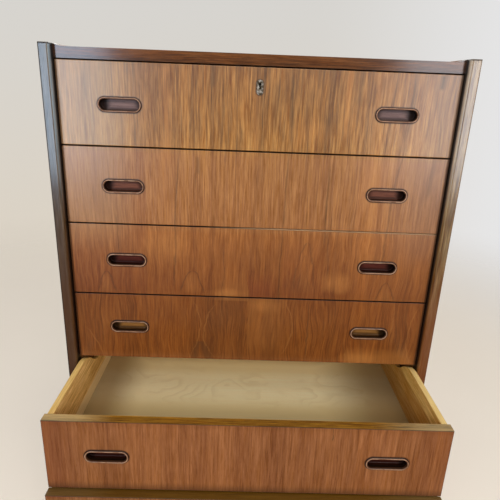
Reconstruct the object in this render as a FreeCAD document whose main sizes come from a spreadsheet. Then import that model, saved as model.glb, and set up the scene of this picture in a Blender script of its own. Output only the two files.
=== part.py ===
import FreeCAD, Part
import Sketcher
import math
import os
import re

# Chest of six drawers in millimetres. X runs to the right, Y to the back, Z up.
# The origin is on the floor, in the middle of the room that the chest takes up
# with its two lowest drawers standing open. The drawer fronts face -Y.

driving_sizes = {
    # case
    "carcass_width": 800,
    "case_depth": 448,
    "side_thickness": 20,
    "side_reveal": 18,
    "lipping_depth": 30,
    "lipping_inner_round": 4.5,
    "lipping_outer_round": 2,
    "leg_height": 150,
    "top_thickness": 20,
    "top_rebate_height": 10,
    "cove_width": 23,
    "lip_rise": 5,
    "rail_depth": 20,
    "bottom_thickness": 22,
    "back_thickness": 5,
    "back_inset": 3,
    "back_housing": 8,
    "panel_fit": 0.5,
    # drawer fronts
    "front_height": 153.5,
    "front_gap": 2,
    "front_end_gap": 1,
    "front_thickness": 20,
    "front_arris": 1.2,
    # drawer boxes
    "board_thickness": 12,
    "board_round": 1.5,
    "running_gap": 5,
    "side_height": 130,
    "side_drop": 1,
    "ogee_start": 171,
    "ogee_run": 130,
    "ogee_drop": 50,
    "tongue_depth": 9,
    "tongue_neck": 6,
    "tongue_tip": 8,
    "tongue_stop": 10,
    "joint_fit": 0.1,
    "inside_depth": 112,
    "base_thickness": 5,
    "groove_depth": 5,
    "back_setback": 10,
    "rear_clearance": 8,
    "fifth_open": 220,
    "sixth_open": 238,
    # runners
    "runner_height": 15,
    "runner_bite": 6,
    "runner_level": 72,
    "runner_stop": 8,
    "runner_rear": 34,
    "runner_play": 0.3,
    "runner_slack": 0.7,
    "runner_screw_inset": 45,
    # pulls
    "pull_length": 84,
    "pull_height": 29,
    "pull_offset": 263.5,
    "rim_width": 4.4,
    "rim_proud": 2.8,
    "rim_overlap": 1.5,
    "rim_outer_round": 2.2,
    "rim_inner_round": 1.6,
    "pull_depth": 17,
    "pull_floor": 3,
    "pull_neck": 4,
    "pull_undercut": 1.2,
    "floor_round": 3,
    # lock
    "keyhole_drop": 36,
    "plate_length": 27,
    "plate_width": 13,
    "plate_proud": 0.8,
    "plate_set": 3,
    "keyhole_radius": 2.4,
    "keyhole_rise": 5.5,
    "key_slot_width": 2.4,
    "key_slot_length": 9,
    "pin_radius": 1.3,
    "pin_drop": 8.5,
    "pin_proud": 0.5,
    "lock_width": 56,
    "lock_height": 50,
    "lock_depth": 9,
    "lock_screw_inset": 5,
    "lock_screw_drop": 10,
    "bolt_width": 26,
    "bolt_thickness": 4.6,
    "bolt_height": 26,
    "bolt_drop": 0.5,
    "bolt_throw": 7,
    "bolt_play": 0.3,
    "bolt_slot_gap": 0.6,
    "bolt_slot_spare": 2,
    "strike_width": 52,
    "strike_depth": 14,
    "strike_thickness": 1.5,
    # legs
    "leg_inset_side": 62,
    "leg_inset_front": 48,
    "leg_inset_back": 58,
    "leg_top_radius": 19,
    "leg_foot_radius": 11.5,
    "leg_foot_round": 1.5,
    "leg_plate_size": 66,
    "leg_plate_thickness": 3,
    "stud_radius": 4,
    "stud_in_leg": 30,
    "stud_in_panel": 12,
    "stud_gap": 1,
    # screws
    "screw_radius": 1.75,
    "screw_head_radius": 3.6,
    "screw_head_height": 2.6,
    "screw_length": 16,
    "screw_slot": 0.9,
    "small_screw_radius": 1.2,
    "small_screw_head": 2.4,
    "small_screw_length": 8,
    "back_screw_pitch": 205,
    "plate_screw_inset": 9,
}

drawer_openings = ["0", "0", "0", "0", "fifth_open", "sixth_open"]

doc = FreeCAD.newDocument("ChestOfDrawers")
sheet = doc.addObject("Spreadsheet::Sheet", "Sizes")
for row, (alias, size) in enumerate(driving_sizes.items(), start=1):
    sheet.set("A%d" % row, alias)
    sheet.set("B%d" % row, str(size))
    sheet.setAlias("B%d" % row, alias)
doc.recompute()

# Places that follow from the driving sizes
inner_width = "(carcass_width - 2 * side_thickness)"
half_inner = "(carcass_width / 2 - side_thickness)"
front_y = "((sixth_open + rim_proud - case_depth) / 2)"
rear_y = "(%s + case_depth)" % front_y
drawer_pitch = "(front_height + front_gap)"
first_gap_z = "(leg_height + bottom_thickness)"
top_z = "(%s + %d * %s + front_gap + top_thickness)" % (first_gap_z, len(drawer_openings), drawer_pitch)
rail_z = "(%s - top_thickness)" % top_z
case_height = "(%s + lip_rise - leg_height)" % top_z
back_face_y = "(%s - back_inset - back_thickness)" % rear_y
drawer_length = "(case_depth - back_inset - back_thickness - rear_clearance)"
side_length = "(%s - front_thickness)" % drawer_length
front_width = "(%s - 2 * front_end_gap)" % inner_width
half_box = "(%s - running_gap)" % half_inner
side_low = "(front_height - side_drop - side_height)"
base_top = "(front_height - inside_depth)"
base_low = "(%s - base_thickness)" % base_top
rear_height = "(side_height - ogee_drop)"
back_y = "(%s - back_setback - board_thickness)" % drawer_length
pull_body_length = "(pull_length - 2 * rim_overlap)"
pull_body_height = "(pull_height - 2 * rim_overlap)"
opening_length = "(pull_length - 2 * rim_width)"
opening_height = "(pull_height - 2 * rim_width)"
leg_length = "(leg_height - leg_plate_thickness)"


def bound(text):
    """The expression with each name pointing into the sheet."""
    return re.sub(r"[a-z]+(?:_[a-z]+)+", r"Sizes.\g<0>", text)


def number(text):
    """The value of an expression at the present sizes."""
    return float(sheet.evalExpression(bound(text)))


def place(item, x="0", y="0", z="0"):
    """Tie an object's place to the sheet."""
    item.setExpression("Placement.Base.x", bound(x))
    item.setExpression("Placement.Base.y", bound(y))
    item.setExpression("Placement.Base.z", bound(z))
    return item


def box(label, corner, extent):
    """A rectangular board from its low corner and its three extents."""
    item = doc.addObject("Part::Box", "Box")
    item.Label = label
    for side, text in zip(("Length", "Width", "Height"), extent):
        item.setExpression(side, bound(text))
    return place(item, *corner)


def cylinder(label, base, radius, height, axis):
    """A round bar that starts at base and runs along axis."""
    item = doc.addObject("Part::Cylinder", "Cylinder")
    item.Label = label
    item.setExpression("Radius", bound(radius))
    item.setExpression("Height", bound(height))
    item.Placement = FreeCAD.Placement(FreeCAD.Vector(), FreeCAD.Rotation(FreeCAD.Vector(0, 0, 1), axis))
    return place(item, *base)


def joined(label, items):
    """Several solids under one name, each still a solid of its own."""
    item = doc.addObject("Part::Compound", "Group")
    item.Label = label
    item.Links = items
    return item


def cut(label, base, tools):
    """What is left of base where the tools have been."""
    tool = tools[0] if len(tools) == 1 else joined(label + "_tools", tools)
    item = doc.addObject("Part::Cut", "Cut")
    item.Label = label
    item.Base = base
    item.Tool = tool
    return item


def mirrored(label, source):
    """The same piece for the other side of the chest."""
    item = doc.addObject("Part::Mirroring", "Mirror")
    item.Label = label
    item.Source = source
    item.Base = FreeCAD.Vector(0, 0, 0)
    item.Normal = FreeCAD.Vector(1, 0, 0)
    return item


def new_body(label):
    body = doc.addObject("PartDesign::Body", "Body")
    body.Label = label
    return body


def new_sketch(body, name, role, offset="0"):
    """A sketch on one of the body's own planes, moved along the plane's normal."""
    plane = [item for item in body.Origin.OriginFeatures if item.Role == role][0]
    sketch = body.newObject("Sketcher::SketchObject", name)
    sketch.AttachmentSupport = [(plane, "")]
    sketch.MapMode = "FlatFace"
    if offset != "0":
        sketch.setExpression("AttachmentOffset.Base.z", bound(offset))
    return sketch


def measure(sketch, kind, *where):
    """A distance or radius constraint tied to the sheet; its text comes last."""
    text = where[-1]
    index = sketch.addConstraint(Sketcher.Constraint(kind, *where[:-1], number(text)))
    sketch.setExpression("Constraints[%d]" % index, bound(text))


def pin_down(sketch, edge, end, x, y):
    """Fix one end of an edge at x, y from the sketch's origin."""
    for kind, text, axis in (("DistanceX", x, -2), ("DistanceY", y, -1)):
        if text == "0":
            sketch.addConstraint(Sketcher.Constraint("PointOnObject", edge, end, axis))
        else:
            measure(sketch, kind, -1, 1, edge, end, text)


def outline(sketch, corners):
    """A closed outline. A corner is (x, y), or (x, y, radius, turn) where an arc
    arrives at it: turn is 1 for an arc to the left and -1 for one to the right."""
    first = sketch.GeometryCount
    ends = []
    for index, corner in enumerate(corners):
        before = corners[index - 1]
        start = FreeCAD.Vector(number(before[0]), number(before[1]), 0)
        end = FreeCAD.Vector(number(corner[0]), number(corner[1]), 0)
        if len(corner) == 2:
            sketch.addGeometry(Part.LineSegment(start, end), False)
            ends.append((1, 2))
            continue
        radius = number(corner[2])
        chord = end - start
        middle = (start + end) * 0.5
        rise = math.sqrt(radius ** 2 - (chord.Length / 2) ** 2)
        left = FreeCAD.Vector(-chord.y, chord.x, 0).normalize()
        centre = middle + left * (rise * corner[3])
        angles = [math.atan2(p.y - centre.y, p.x - centre.x) for p in (start, end)]
        if corner[3] < 0:
            angles.reverse()
        circle = Part.Circle(centre, FreeCAD.Vector(0, 0, 1), radius)
        sketch.addGeometry(Part.ArcOfCircle(circle, angles[0], angles[1]), False)
        ends.append((1, 2) if corner[3] > 0 else (2, 1))
    for index, corner in enumerate(corners):
        after = (index + 1) % len(corners)
        here = (first + index, ends[index][1])
        sketch.addConstraint(Sketcher.Constraint("Coincident", *here, first + after, ends[after][0]))
        pin_down(sketch, *here, corner[0], corner[1])
        if len(corner) == 4:
            measure(sketch, "Radius", first + index, corner[2])


def rectangle(sketch, x, y, width, height):
    right = "(%s + %s)" % (x, width)
    upper = "(%s + %s)" % (y, height)
    outline(sketch, [(x, y), (right, y), (right, upper), (x, upper)])


def slot(sketch, x, y, length, height):
    """A slot with round ends, lying along the sketch's x, centred on x, y."""
    half_run = "((%s - %s) / 2)" % (length, height)
    radius = "(%s / 2)" % height
    centre = FreeCAD.Vector(number(x), number(y), 0)
    run = FreeCAD.Vector(number(half_run), 0, 0)
    up = FreeCAD.Vector(0, number(radius), 0)
    first = sketch.GeometryCount
    normal = FreeCAD.Vector(0, 0, 1)
    right_end = Part.Circle(centre + run, normal, up.y)
    left_end = Part.Circle(centre - run, normal, up.y)
    sketch.addGeometry(Part.ArcOfCircle(right_end, -math.pi / 2, math.pi / 2), False)
    sketch.addGeometry(Part.LineSegment(centre + run + up, centre - run + up), False)
    sketch.addGeometry(Part.ArcOfCircle(left_end, math.pi / 2, 3 * math.pi / 2), False)
    sketch.addGeometry(Part.LineSegment(centre - run - up, centre + run - up), False)
    for index in range(4):
        edges = (first + index, 2, first + (index + 1) % 4, 1)
        sketch.addConstraint(Sketcher.Constraint("Tangent", *edges))
    measure(sketch, "Radius", first, radius)
    pin_down(sketch, first, 3, "(%s + %s)" % (x, half_run), y)
    pin_down(sketch, first + 2, 3, "(%s - %s)" % (x, half_run), y)


def extrude(body, kind, name, sketch, length, backwards=False):
    """Pad or pocket a sketch by a length from the sheet."""
    feature = body.newObject("PartDesign::" + kind, name)
    feature.Profile = sketch
    feature.setExpression("Length", bound(length))
    feature.Reversed = backwards
    return feature


def round_edges(body, name, radius, wanted):
    """Round the edges of the body's last feature that the test picks."""
    base = body.Tip
    base.recompute(True)
    names = ["Edge%d" % n for n, edge in enumerate(base.Shape.Edges, start=1) if wanted(edge.BoundBox)]
    feature = body.newObject("PartDesign::Fillet", name)
    feature.Base = (base, names)
    feature.setExpression("Radius", bound(radius))
    return feature


def near(value, target):
    return abs(value - target) < 1e-4


def master_screw(label, radius, head_radius, head_height, length):
    """Countersunk wood screw with a slotted head: head at the origin, point down -Z."""
    body = new_body(label)
    profile = new_sketch(body, "Profile", "XZ_Plane")
    outline(profile, [
        ("0", "0"),
        (head_radius, "0"),
        (radius, "-%s" % head_height),
        (radius, "%s * 2 - %s" % (radius, length)),
        ("0", "-%s" % length),
    ])
    turned = body.newObject("PartDesign::Revolution", "Turned")
    turned.Profile = profile
    turned.ReferenceAxis = (profile, ["V_Axis"])
    turned.Angle = 360
    groove = new_sketch(body, "Slot", "XY_Plane")
    rectangle(groove, "-%s" % head_radius, "-screw_slot / 2", "2 * %s" % head_radius, "screw_slot")
    extrude(body, "Pocket", "DriverSlot", groove, "screw_slot")
    return body


def screw_group(label, screw, seats):
    """Copies of one screw, each with its head at a seat and its point along a direction."""
    doc.recompute()
    copies = []
    for seat, direction in seats:
        turn = FreeCAD.Rotation(FreeCAD.Vector(0, 0, -1), FreeCAD.Vector(*direction))
        copy = screw.Shape.copy()
        copy.Placement = FreeCAD.Placement(FreeCAD.Vector(*[number(text) for text in seat]), turn)
        copies.append(copy)
    item = doc.addObject("Part::Feature", "Screws")
    item.Label = label
    item.Shape = Part.Compound(copies)
    return item


def drawer_bottom_z(drawer):
    """Height of the lower edge of a drawer's front, drawer 1 being the top one."""
    return "(%s + front_gap + %d * %s)" % (first_gap_z, len(drawer_openings) - drawer, drawer_pitch)


subparts = []


def keep(item):
    subparts.append(item)
    return item


# Screws that the case and the lock are put together with
wood_screw = master_screw("wood_screw", "screw_radius", "screw_head_radius", "screw_head_height", "screw_length")
small_screw = master_screw(
    "small_screw", "small_screw_radius", "small_screw_head", "small_screw_radius", "small_screw_length")

runner_length = "(case_depth - front_thickness - runner_stop - runner_rear)"
runner_y = "(%s + front_thickness + runner_stop)" % front_y
runner_width = "(running_gap + runner_bite)"

runner_seats = []
for drawer in range(1, len(drawer_openings) + 1):
    middle_z = "(%s + runner_level + runner_height / 2)" % drawer_bottom_z(drawer)
    for side in (-1, 1):
        seat_x = "%d * (%s - %s)" % (side, half_inner, runner_width)
        for seat_y in ("%s + runner_screw_inset" % runner_y,
                       "%s + %s - runner_screw_inset" % (runner_y, runner_length)):
            runner_seats.append(((seat_x, seat_y, middle_z), (side, 0, 0)))
runner_screws = keep(screw_group("runner_screws", wood_screw, runner_seats))

back_outer_y = "(%s - back_inset)" % rear_y
screw_line_x = "(%s + back_housing / 2)" % half_inner
back_seats = []
for step in (-2, -1, 0, 1, 2):
    level = "(%s + leg_height) / 2 + %d * back_screw_pitch" % (top_z, step)
    for side in (-1, 1):
        back_seats.append((("%d * %s" % (side, screw_line_x), back_outer_y, level), (0, -1, 0)))
for step in (-1, 0, 1):
    across = "%d * back_screw_pitch" % step
    for level in ("leg_height + bottom_thickness / 2", "%s + top_rebate_height / 2" % rail_z):
        back_seats.append(((across, back_outer_y, level), (0, -1, 0)))
back_screws = keep(screw_group("back_screws", wood_screw, back_seats))

leg_places = {
    "front_left": (-1, "(%s + leg_inset_front)" % front_y),
    "front_right": (1, "(%s + leg_inset_front)" % front_y),
    "back_left": (-1, "(%s - leg_inset_back)" % rear_y),
    "back_right": (1, "(%s - leg_inset_back)" % rear_y),
}
plate_seats = []
for side, leg_y in leg_places.values():
    for x_way in (-1, 1):
        for y_way in (-1, 1):
            screw_out = "(leg_plate_size / 2 - plate_screw_inset)"
            seat_x = "%d * (carcass_width / 2 - leg_inset_side) + %d * %s" % (side, x_way, screw_out)
            seat_y = "%s + %d * %s" % (leg_y, y_way, screw_out)
            plate_seats.append(((seat_x, seat_y, leg_length), (0, 0, 1)))
plate_screws = keep(screw_group("plate_screws", wood_screw, plate_seats))


def make_lipping():
    """Solid front edge of a side panel, rounded on its inner front corner."""
    body = new_body("lipping_left")
    section = new_sketch(body, "Section", "XY_Plane")
    rectangle(section, "0", "0", "side_thickness", "lipping_depth")
    extrude(body, "Pad", "Strip", section, case_height)
    height = number(case_height)
    inner_x = number("side_thickness")
    round_edges(body, "InnerRound", "lipping_inner_round",
                lambda b: near(b.XMin, inner_x) and near(b.YMax, 0) and b.ZLength > height / 2)
    round_edges(body, "OuterRound", "lipping_outer_round",
                lambda b: (near(b.XMax, 0) and near(b.YMax, 0)) or (near(b.ZMin, height) and near(b.YMax, 0)))
    return place(body, "-carcass_width / 2", "%s - side_reveal" % front_y, "leg_height")


lipping = keep(make_lipping())
keep(mirrored("lipping_right", lipping))

# Side panels, rebated at the back for the thin back panel
panel_front = "(%s - side_reveal + lipping_depth)" % front_y
panel_depth = "(case_depth + side_reveal - lipping_depth)"
side_board = box("side_board", ("-carcass_width / 2", panel_front, "leg_height"),
                 ("side_thickness", panel_depth, case_height))
rebate_depth = "(back_inset + back_thickness)"
side_rebate = box("side_rebate", ("-%s - back_housing" % half_inner, back_face_y, "leg_height"),
                  ("back_housing", rebate_depth, "(%s - leg_height)" % top_z))
side_left = keep(cut("side_left", side_board, [side_rebate, runner_screws, back_screws]))
keep(mirrored("side_right", side_left))


def coved_strip(label, depth):
    """Board between the sides whose ends sweep up to them in a cove."""
    body = new_body(label)
    section = new_sketch(body, "Section", "XZ_Plane")
    cove_radius = "((cove_width ^ 2 + lip_rise ^ 2) / (2 * lip_rise))"
    lip_top = "(top_thickness + lip_rise)"
    outline(section, [
        ("0", "0"),
        (inner_width, "0"),
        (inner_width, lip_top),
        ("(%s - cove_width)" % inner_width, "top_thickness", cove_radius, -1),
        ("cove_width", "top_thickness"),
        ("0", lip_top, cove_radius, -1),
    ])
    extrude(body, "Pad", "Board", section, depth, backwards=True)
    return body


# Top panel behind its front rail; the back panel slips into a rebate under its rear edge
top_body = coved_strip("top_board", "(case_depth - rail_depth)")
place(top_body, "-%s" % half_inner, "%s + rail_depth" % front_y, rail_z)
top_rebate = box("top_rebate", ("-%s" % half_inner, back_face_y, rail_z),
                 (inner_width, rebate_depth, "top_rebate_height"))
keep(cut("top_panel", top_body, [top_rebate, back_screws]))

# Slot in the top rail for the lock's bolt, with the strike plate let in flush
strike_y = "(%s + front_thickness - lock_depth / 2)" % front_y
slot_width = "(bolt_width + 2 * bolt_slot_gap)"
slot_depth = "(bolt_thickness + 2 * bolt_slot_gap)"
slot_y = "(%s - %s / 2)" % (strike_y, slot_depth)
bolt_slot = box("bolt_slot", ("-%s / 2" % slot_width, slot_y, rail_z),
                (slot_width, slot_depth, "(bolt_throw + bolt_slot_spare)"))
rail_body = coved_strip("rail_strip", "rail_depth")
place(rail_body, "-%s" % half_inner, front_y, rail_z)
strike_y_low = "(%s + rail_depth - strike_depth)" % front_y
strike_sheet = box("strike_sheet", ("-strike_width / 2", strike_y_low, rail_z),
                   ("strike_width", "strike_depth", "strike_thickness"))
keep(cut("top_rail", rail_body, [bolt_slot, strike_sheet]))
keep(cut("strike_plate", strike_sheet, [bolt_slot]))

# Bottom panel and its rail
stud_room = [
    cylinder("stud_room", ("%d * (carcass_width / 2 - leg_inset_side)" % side, leg_y, "leg_height"),
             "(stud_radius + stud_gap)", "(stud_in_panel + stud_gap)", FreeCAD.Vector(0, 0, 1))
    for side, leg_y in leg_places.values()]
bottom_board = box("bottom_board", ("-%s" % half_inner, "%s + rail_depth" % front_y, "leg_height"),
                   (inner_width, "(case_depth - rail_depth - back_inset - back_thickness)", "bottom_thickness"))
keep(cut("bottom_panel", bottom_board, stud_room + [back_screws, plate_screws]))
keep(box("bottom_rail", ("-%s" % half_inner, front_y, "leg_height"),
         (inner_width, "rail_depth", "bottom_thickness")))

# Back panel in the rebates, screwed on
back_left = "-%s - back_housing + panel_fit" % half_inner
back_board = box("back_board", (back_left, back_face_y, "leg_height"),
                 ("(%s + 2 * back_housing - 2 * panel_fit)" % inner_width, "back_thickness",
                  "(%s + top_rebate_height - panel_fit - leg_height)" % rail_z))
keep(cut("back_panel", back_board, [back_screws]))

# Runners that the drawers hang on, one on each side of every drawer
runner_boards = []
for drawer in range(1, len(drawer_openings) + 1):
    level = "(%s + runner_level)" % drawer_bottom_z(drawer)
    for x in ("-%s" % half_inner, "(%s - %s)" % (half_inner, runner_width)):
        runner_boards.append(box("runner_board", (x, runner_y, level),
                                 (runner_width, runner_length, "runner_height")))
keep(cut("runners", joined("runner_boards", runner_boards), [runner_screws]))


def make_leg(label, side, leg_y):
    """Turned, tapered leg, bored at the top for its stud."""
    body = new_body(label)
    profile = new_sketch(body, "Profile", "XZ_Plane")
    outline(profile, [
        ("0", "0"),
        ("(leg_foot_radius - leg_foot_round)", "0"),
        ("leg_foot_radius", "leg_foot_round"),
        ("leg_top_radius", leg_length),
        ("stud_radius", leg_length),
        ("stud_radius", "(%s - stud_in_leg)" % leg_length),
        ("0", "(%s - stud_in_leg)" % leg_length),
    ])
    turned = body.newObject("PartDesign::Revolution", "Turned")
    turned.Profile = profile
    turned.ReferenceAxis = (profile, ["V_Axis"])
    turned.Angle = 360
    return place(body, "%d * (carcass_width / 2 - leg_inset_side)" % side, leg_y, "0")


studs = []
plates = []
for corner, (side, leg_y) in leg_places.items():
    keep(make_leg("leg_" + corner, side, leg_y))
    leg_x = "%d * (carcass_width / 2 - leg_inset_side)" % side
    studs.append(cylinder("stud", (leg_x, leg_y, "%s - stud_in_leg" % leg_length), "stud_radius",
                          "(stud_in_leg + leg_plate_thickness + stud_in_panel)", FreeCAD.Vector(0, 0, 1)))
    plates.append(box("plate", ("%s - leg_plate_size / 2" % leg_x, "%s - leg_plate_size / 2" % leg_y, leg_length),
                      ("leg_plate_size", "leg_plate_size", "leg_plate_thickness")))
leg_studs = keep(joined("leg_studs", studs))
keep(cut("leg_plates", joined("plate_blanks", plates), [leg_studs, plate_screws]))


def make_pull(label, side, y, z):
    """Recessed pull: a rounded rim on the front's face round a finger recess."""
    body = new_body(label)
    block = new_sketch(body, "Block", "XZ_Plane")
    slot(block, "0", "0", pull_body_length, pull_body_height)
    extrude(body, "Pad", "BlockPad", block, "pull_depth", backwards=True)
    rim = new_sketch(body, "Rim", "XZ_Plane")
    slot(rim, "0", "0", "pull_length", "pull_height")
    extrude(body, "Pad", "RimPad", rim, "rim_proud")
    recess = new_sketch(body, "Recess", "XZ_Plane", "rim_proud")
    slot(recess, "0", "0", opening_length, opening_height)
    extrude(body, "Pocket", "RecessPocket", recess, "(rim_proud + pull_depth - pull_floor)")
    undercut = new_sketch(body, "Undercut", "XZ_Plane", "-pull_neck")
    slot(undercut, "0", "0", "(%s + 2 * pull_undercut)" % opening_length,
         "(%s + 2 * pull_undercut)" % opening_height)
    extrude(body, "Pocket", "UndercutPocket", undercut, "(pull_depth - pull_floor - pull_neck)")
    outer_top = number("pull_height / 2")
    inner_top = number("%s / 2" % opening_height)
    rim_y = -number("rim_proud")
    floor_y = number("pull_depth - pull_floor")
    round_edges(body, "RimOuterRound", "rim_outer_round",
                lambda b: near(b.YMin, rim_y) and near(b.YMax, rim_y) and near(b.ZMax, outer_top))
    round_edges(body, "RimInnerRound", "rim_inner_round",
                lambda b: near(b.YMin, rim_y) and near(b.YMax, rim_y) and near(b.ZMax, inner_top))
    round_edges(body, "FloorRound", "floor_round",
                lambda b: near(b.YMin, floor_y) and near(b.YMax, floor_y))
    return place(body, "%d * pull_offset" % side, y, "%s + front_height / 2" % z)


def make_front(drawer, y, z):
    """Drawer front with its pull recesses, and grooves for the sides and the bottom."""
    label = "drawer_front_%d" % drawer
    body = new_body(label + "_board" if drawer == 1 else label)
    face = new_sketch(body, "Face", "XZ_Plane")
    rectangle(face, "0", "0", front_width, "front_height")
    extrude(body, "Pad", "Board", face, "front_thickness", backwards=True)
    round_edges(body, "Arris", "front_arris", lambda b: near(b.YMin, 0) and near(b.YMax, 0))
    pulls = new_sketch(body, "PullSeats", "XZ_Plane")
    for side in (-1, 1):
        slot(pulls, "(%s / 2 + %d * pull_offset)" % (front_width, side), "(front_height / 2)",
             "(%s + 2 * joint_fit)" % pull_body_length, "(%s + 2 * joint_fit)" % pull_body_height)
    extrude(body, "Pocket", "PullPockets", pulls, "(pull_depth + joint_fit)")
    joints = new_sketch(body, "SideJoints", "XY_Plane", side_low)
    inner_face = "front_thickness"
    blind_end = "(front_thickness - tongue_depth - joint_fit)"
    for side in (-1, 1):
        middle = "(%s / 2 + %d * (%s - board_thickness / 2))" % (front_width, side, half_box)
        neck = "(tongue_neck / 2 + joint_fit)"
        tip = "(tongue_tip / 2 + joint_fit)"
        outline(joints, [
            ("(%s - %s)" % (middle, tip), blind_end),
            ("(%s + %s)" % (middle, tip), blind_end),
            ("(%s + %s)" % (middle, neck), inner_face),
            ("(%s - %s)" % (middle, neck), inner_face),
        ])
    extrude(body, "Pocket", "JointPockets", joints, "(side_height - tongue_stop + joint_fit)", backwards=True)
    groove = new_sketch(body, "BaseGroove", "XZ_Plane", "-front_thickness")
    rectangle(groove, "(%s / 2 - %s + board_thickness - groove_depth)" % (front_width, half_box), base_low,
              "(2 * (%s - board_thickness + groove_depth))" % half_box, "base_thickness")
    extrude(body, "Pocket", "BaseGroovePocket", groove, "groove_depth", backwards=True)
    return place(body, "-%s / 2" % front_width, y, z)


def make_side(drawer, y, z):
    """Left side board of a drawer, swept down at the rear, grooved for its runner."""
    body = new_body("drawer_side_left_%d" % drawer)
    profile = new_sketch(body, "Profile", "YZ_Plane")
    ogee_radius = "((ogee_run ^ 2 + ogee_drop ^ 2) / (4 * ogee_drop))"
    end_y = "(tongue_depth + %s)" % side_length
    outline(profile, [
        ("tongue_depth", "0"),
        (end_y, "0"),
        (end_y, rear_height),
        ("(tongue_depth + ogee_start + ogee_run)", rear_height),
        ("(tongue_depth + ogee_start + ogee_run / 2)", "(side_height - ogee_drop / 2)", ogee_radius, -1),
        ("(tongue_depth + ogee_start)", "side_height", ogee_radius, 1),
        ("tongue_depth", "side_height"),
    ])
    extrude(body, "Pad", "Board", profile, "board_thickness")
    low_top = number(rear_height)
    round_edges(body, "TopRound", "board_round",
                lambda b: (b.ZMin > low_top or near(b.ZMin, low_top)) and not near(b.YLength, 0))
    tongue = new_sketch(body, "Tongue", "XY_Plane")
    centre = "(board_thickness / 2)"
    outline(tongue, [
        ("(%s - tongue_tip / 2)" % centre, "0"),
        ("(%s + tongue_tip / 2)" % centre, "0"),
        ("(%s + tongue_neck / 2)" % centre, "tongue_depth"),
        ("(%s - tongue_neck / 2)" % centre, "tongue_depth"),
    ])
    extrude(body, "Pad", "TonguePad", tongue, "(side_height - tongue_stop)")
    track = new_sketch(body, "RunnerGroove", "YZ_Plane")
    track_low = "(runner_level - %s - runner_slack)" % side_low
    track_start = "(tongue_depth + runner_stop - runner_play)"
    rectangle(track, track_start, track_low, "(%s - runner_stop + 2 * runner_play)" % side_length,
              "(runner_height + runner_play + runner_slack)")
    extrude(body, "Pocket", "RunnerPocket", track, "(runner_bite + runner_play)", backwards=True)
    inner = new_sketch(body, "Housings", "YZ_Plane", "board_thickness")
    base_low_here = "(%s - %s)" % (base_low, side_low)
    rear_y_here = "(%s - front_thickness + tongue_depth)" % back_y
    outline(inner, [
        ("(tongue_depth - groove_depth)", base_low_here),
        ("(%s + board_thickness)" % rear_y_here, base_low_here),
        ("(%s + board_thickness)" % rear_y_here, "side_height"),
        (rear_y_here, "side_height"),
        (rear_y_here, "(%s + base_thickness)" % base_low_here),
        ("(tongue_depth - groove_depth)", "(%s + base_thickness)" % base_low_here),
    ])
    extrude(body, "Pocket", "HousingPocket", inner, "groove_depth")
    place(body, "-%s" % half_box, "%s + front_thickness - tongue_depth" % y, "%s + %s" % (z, side_low))
    return body


def keyhole(label, y, depth, z):
    """Keyhole through the front, its plate and the lock: a round hole over a slot."""
    hole_z = "(%s + front_height - keyhole_drop + keyhole_rise)" % z
    barrel = cylinder(label + "_barrel", ("0", y, hole_z), "keyhole_radius", depth, FreeCAD.Vector(0, 1, 0))
    throat = box(label + "_throat", ("-key_slot_width / 2", y, "%s - key_slot_length" % hole_z),
                 ("key_slot_width", depth, "key_slot_length"))
    return [barrel, throat]


def make_lock(board, y, z):
    """Lock let into the back of the top drawer's front, with its bolt, plate and screws."""
    top = "(%s + front_height)" % z
    case_y = "(%s + front_thickness - lock_depth)" % y
    case_z = "(%s - lock_height)" % top
    lock_block = box("lock_block", ("-lock_width / 2", case_y, case_z),
                     ("lock_width", "lock_depth", "lock_height"))
    chamber_height = "(bolt_height + bolt_drop + bolt_play)"
    chamber = box("bolt_chamber",
                  ("-bolt_width / 2 - bolt_play",
                   "%s + lock_depth / 2 - bolt_thickness / 2 - bolt_play" % case_y,
                   "%s - %s" % (top, chamber_height)),
                  ("(bolt_width + 2 * bolt_play)", "(bolt_thickness + 2 * bolt_play)", chamber_height))
    seats = []
    for side in (-1, 1):
        for drop in ("lock_screw_drop", "lock_height - lock_screw_drop"):
            seat = ("%d * (lock_width / 2 - lock_screw_inset)" % side,
                    "%s + lock_depth" % case_y, "%s - %s" % (top, drop))
            seats.append((seat, (0, -1, 0)))
    lock_screws = keep(screw_group("lock_screws", small_screw, seats))
    through = "(front_thickness + 2 * plate_proud)"
    hole = keyhole("keyhole", "%s - 2 * plate_proud" % y, through, z)
    keep(cut("lock_case", lock_block, [chamber, lock_screws] + hole))
    bolt_z = "(%s - bolt_drop - bolt_height)" % top
    keep(box("lock_bolt", ("-bolt_width / 2", "%s + lock_depth / 2 - bolt_thickness / 2" % case_y, bolt_z),
             ("bolt_width", "bolt_thickness", "bolt_height")))

    plate = new_body("key_plate_blank")
    oval = new_sketch(plate, "Oval", "YZ_Plane")
    slot(oval, "0", "0", "plate_length", "plate_width")
    extrude(plate, "Pad", "Sheet", oval, "(plate_set + plate_proud)")
    outer_x = number("plate_set + plate_proud")
    round_edges(plate, "PlateRound", "(plate_proud / 2)", lambda b: near(b.XMin, outer_x) and near(b.XMax, outer_x))
    # the plate is drawn lying along Y and is stood upright on the front's face
    plate.Placement = FreeCAD.Placement(FreeCAD.Vector(), FreeCAD.Rotation(
        FreeCAD.Vector(0, -1, 0), FreeCAD.Vector(0, 0, 1), FreeCAD.Vector(-1, 0, 0), "XYZ"))
    plate_z = "(%s - keyhole_drop)" % top
    place(plate, "0", "%s + plate_set" % y, plate_z)
    pin_y = "%s - plate_proud - pin_proud" % y
    pin = cylinder("key_plate_pin", ("0", pin_y, "%s - pin_drop" % plate_z), "pin_radius",
                   "(plate_set + plate_proud + pin_proud)", FreeCAD.Vector(0, 1, 0))
    key_plate = cut("key_plate", plate, hole + [pin])
    keep(joined("escutcheon", [key_plate, pin]))
    keep(cut("drawer_front_1", board, [lock_block, plate, lock_screws] + hole))


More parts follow.
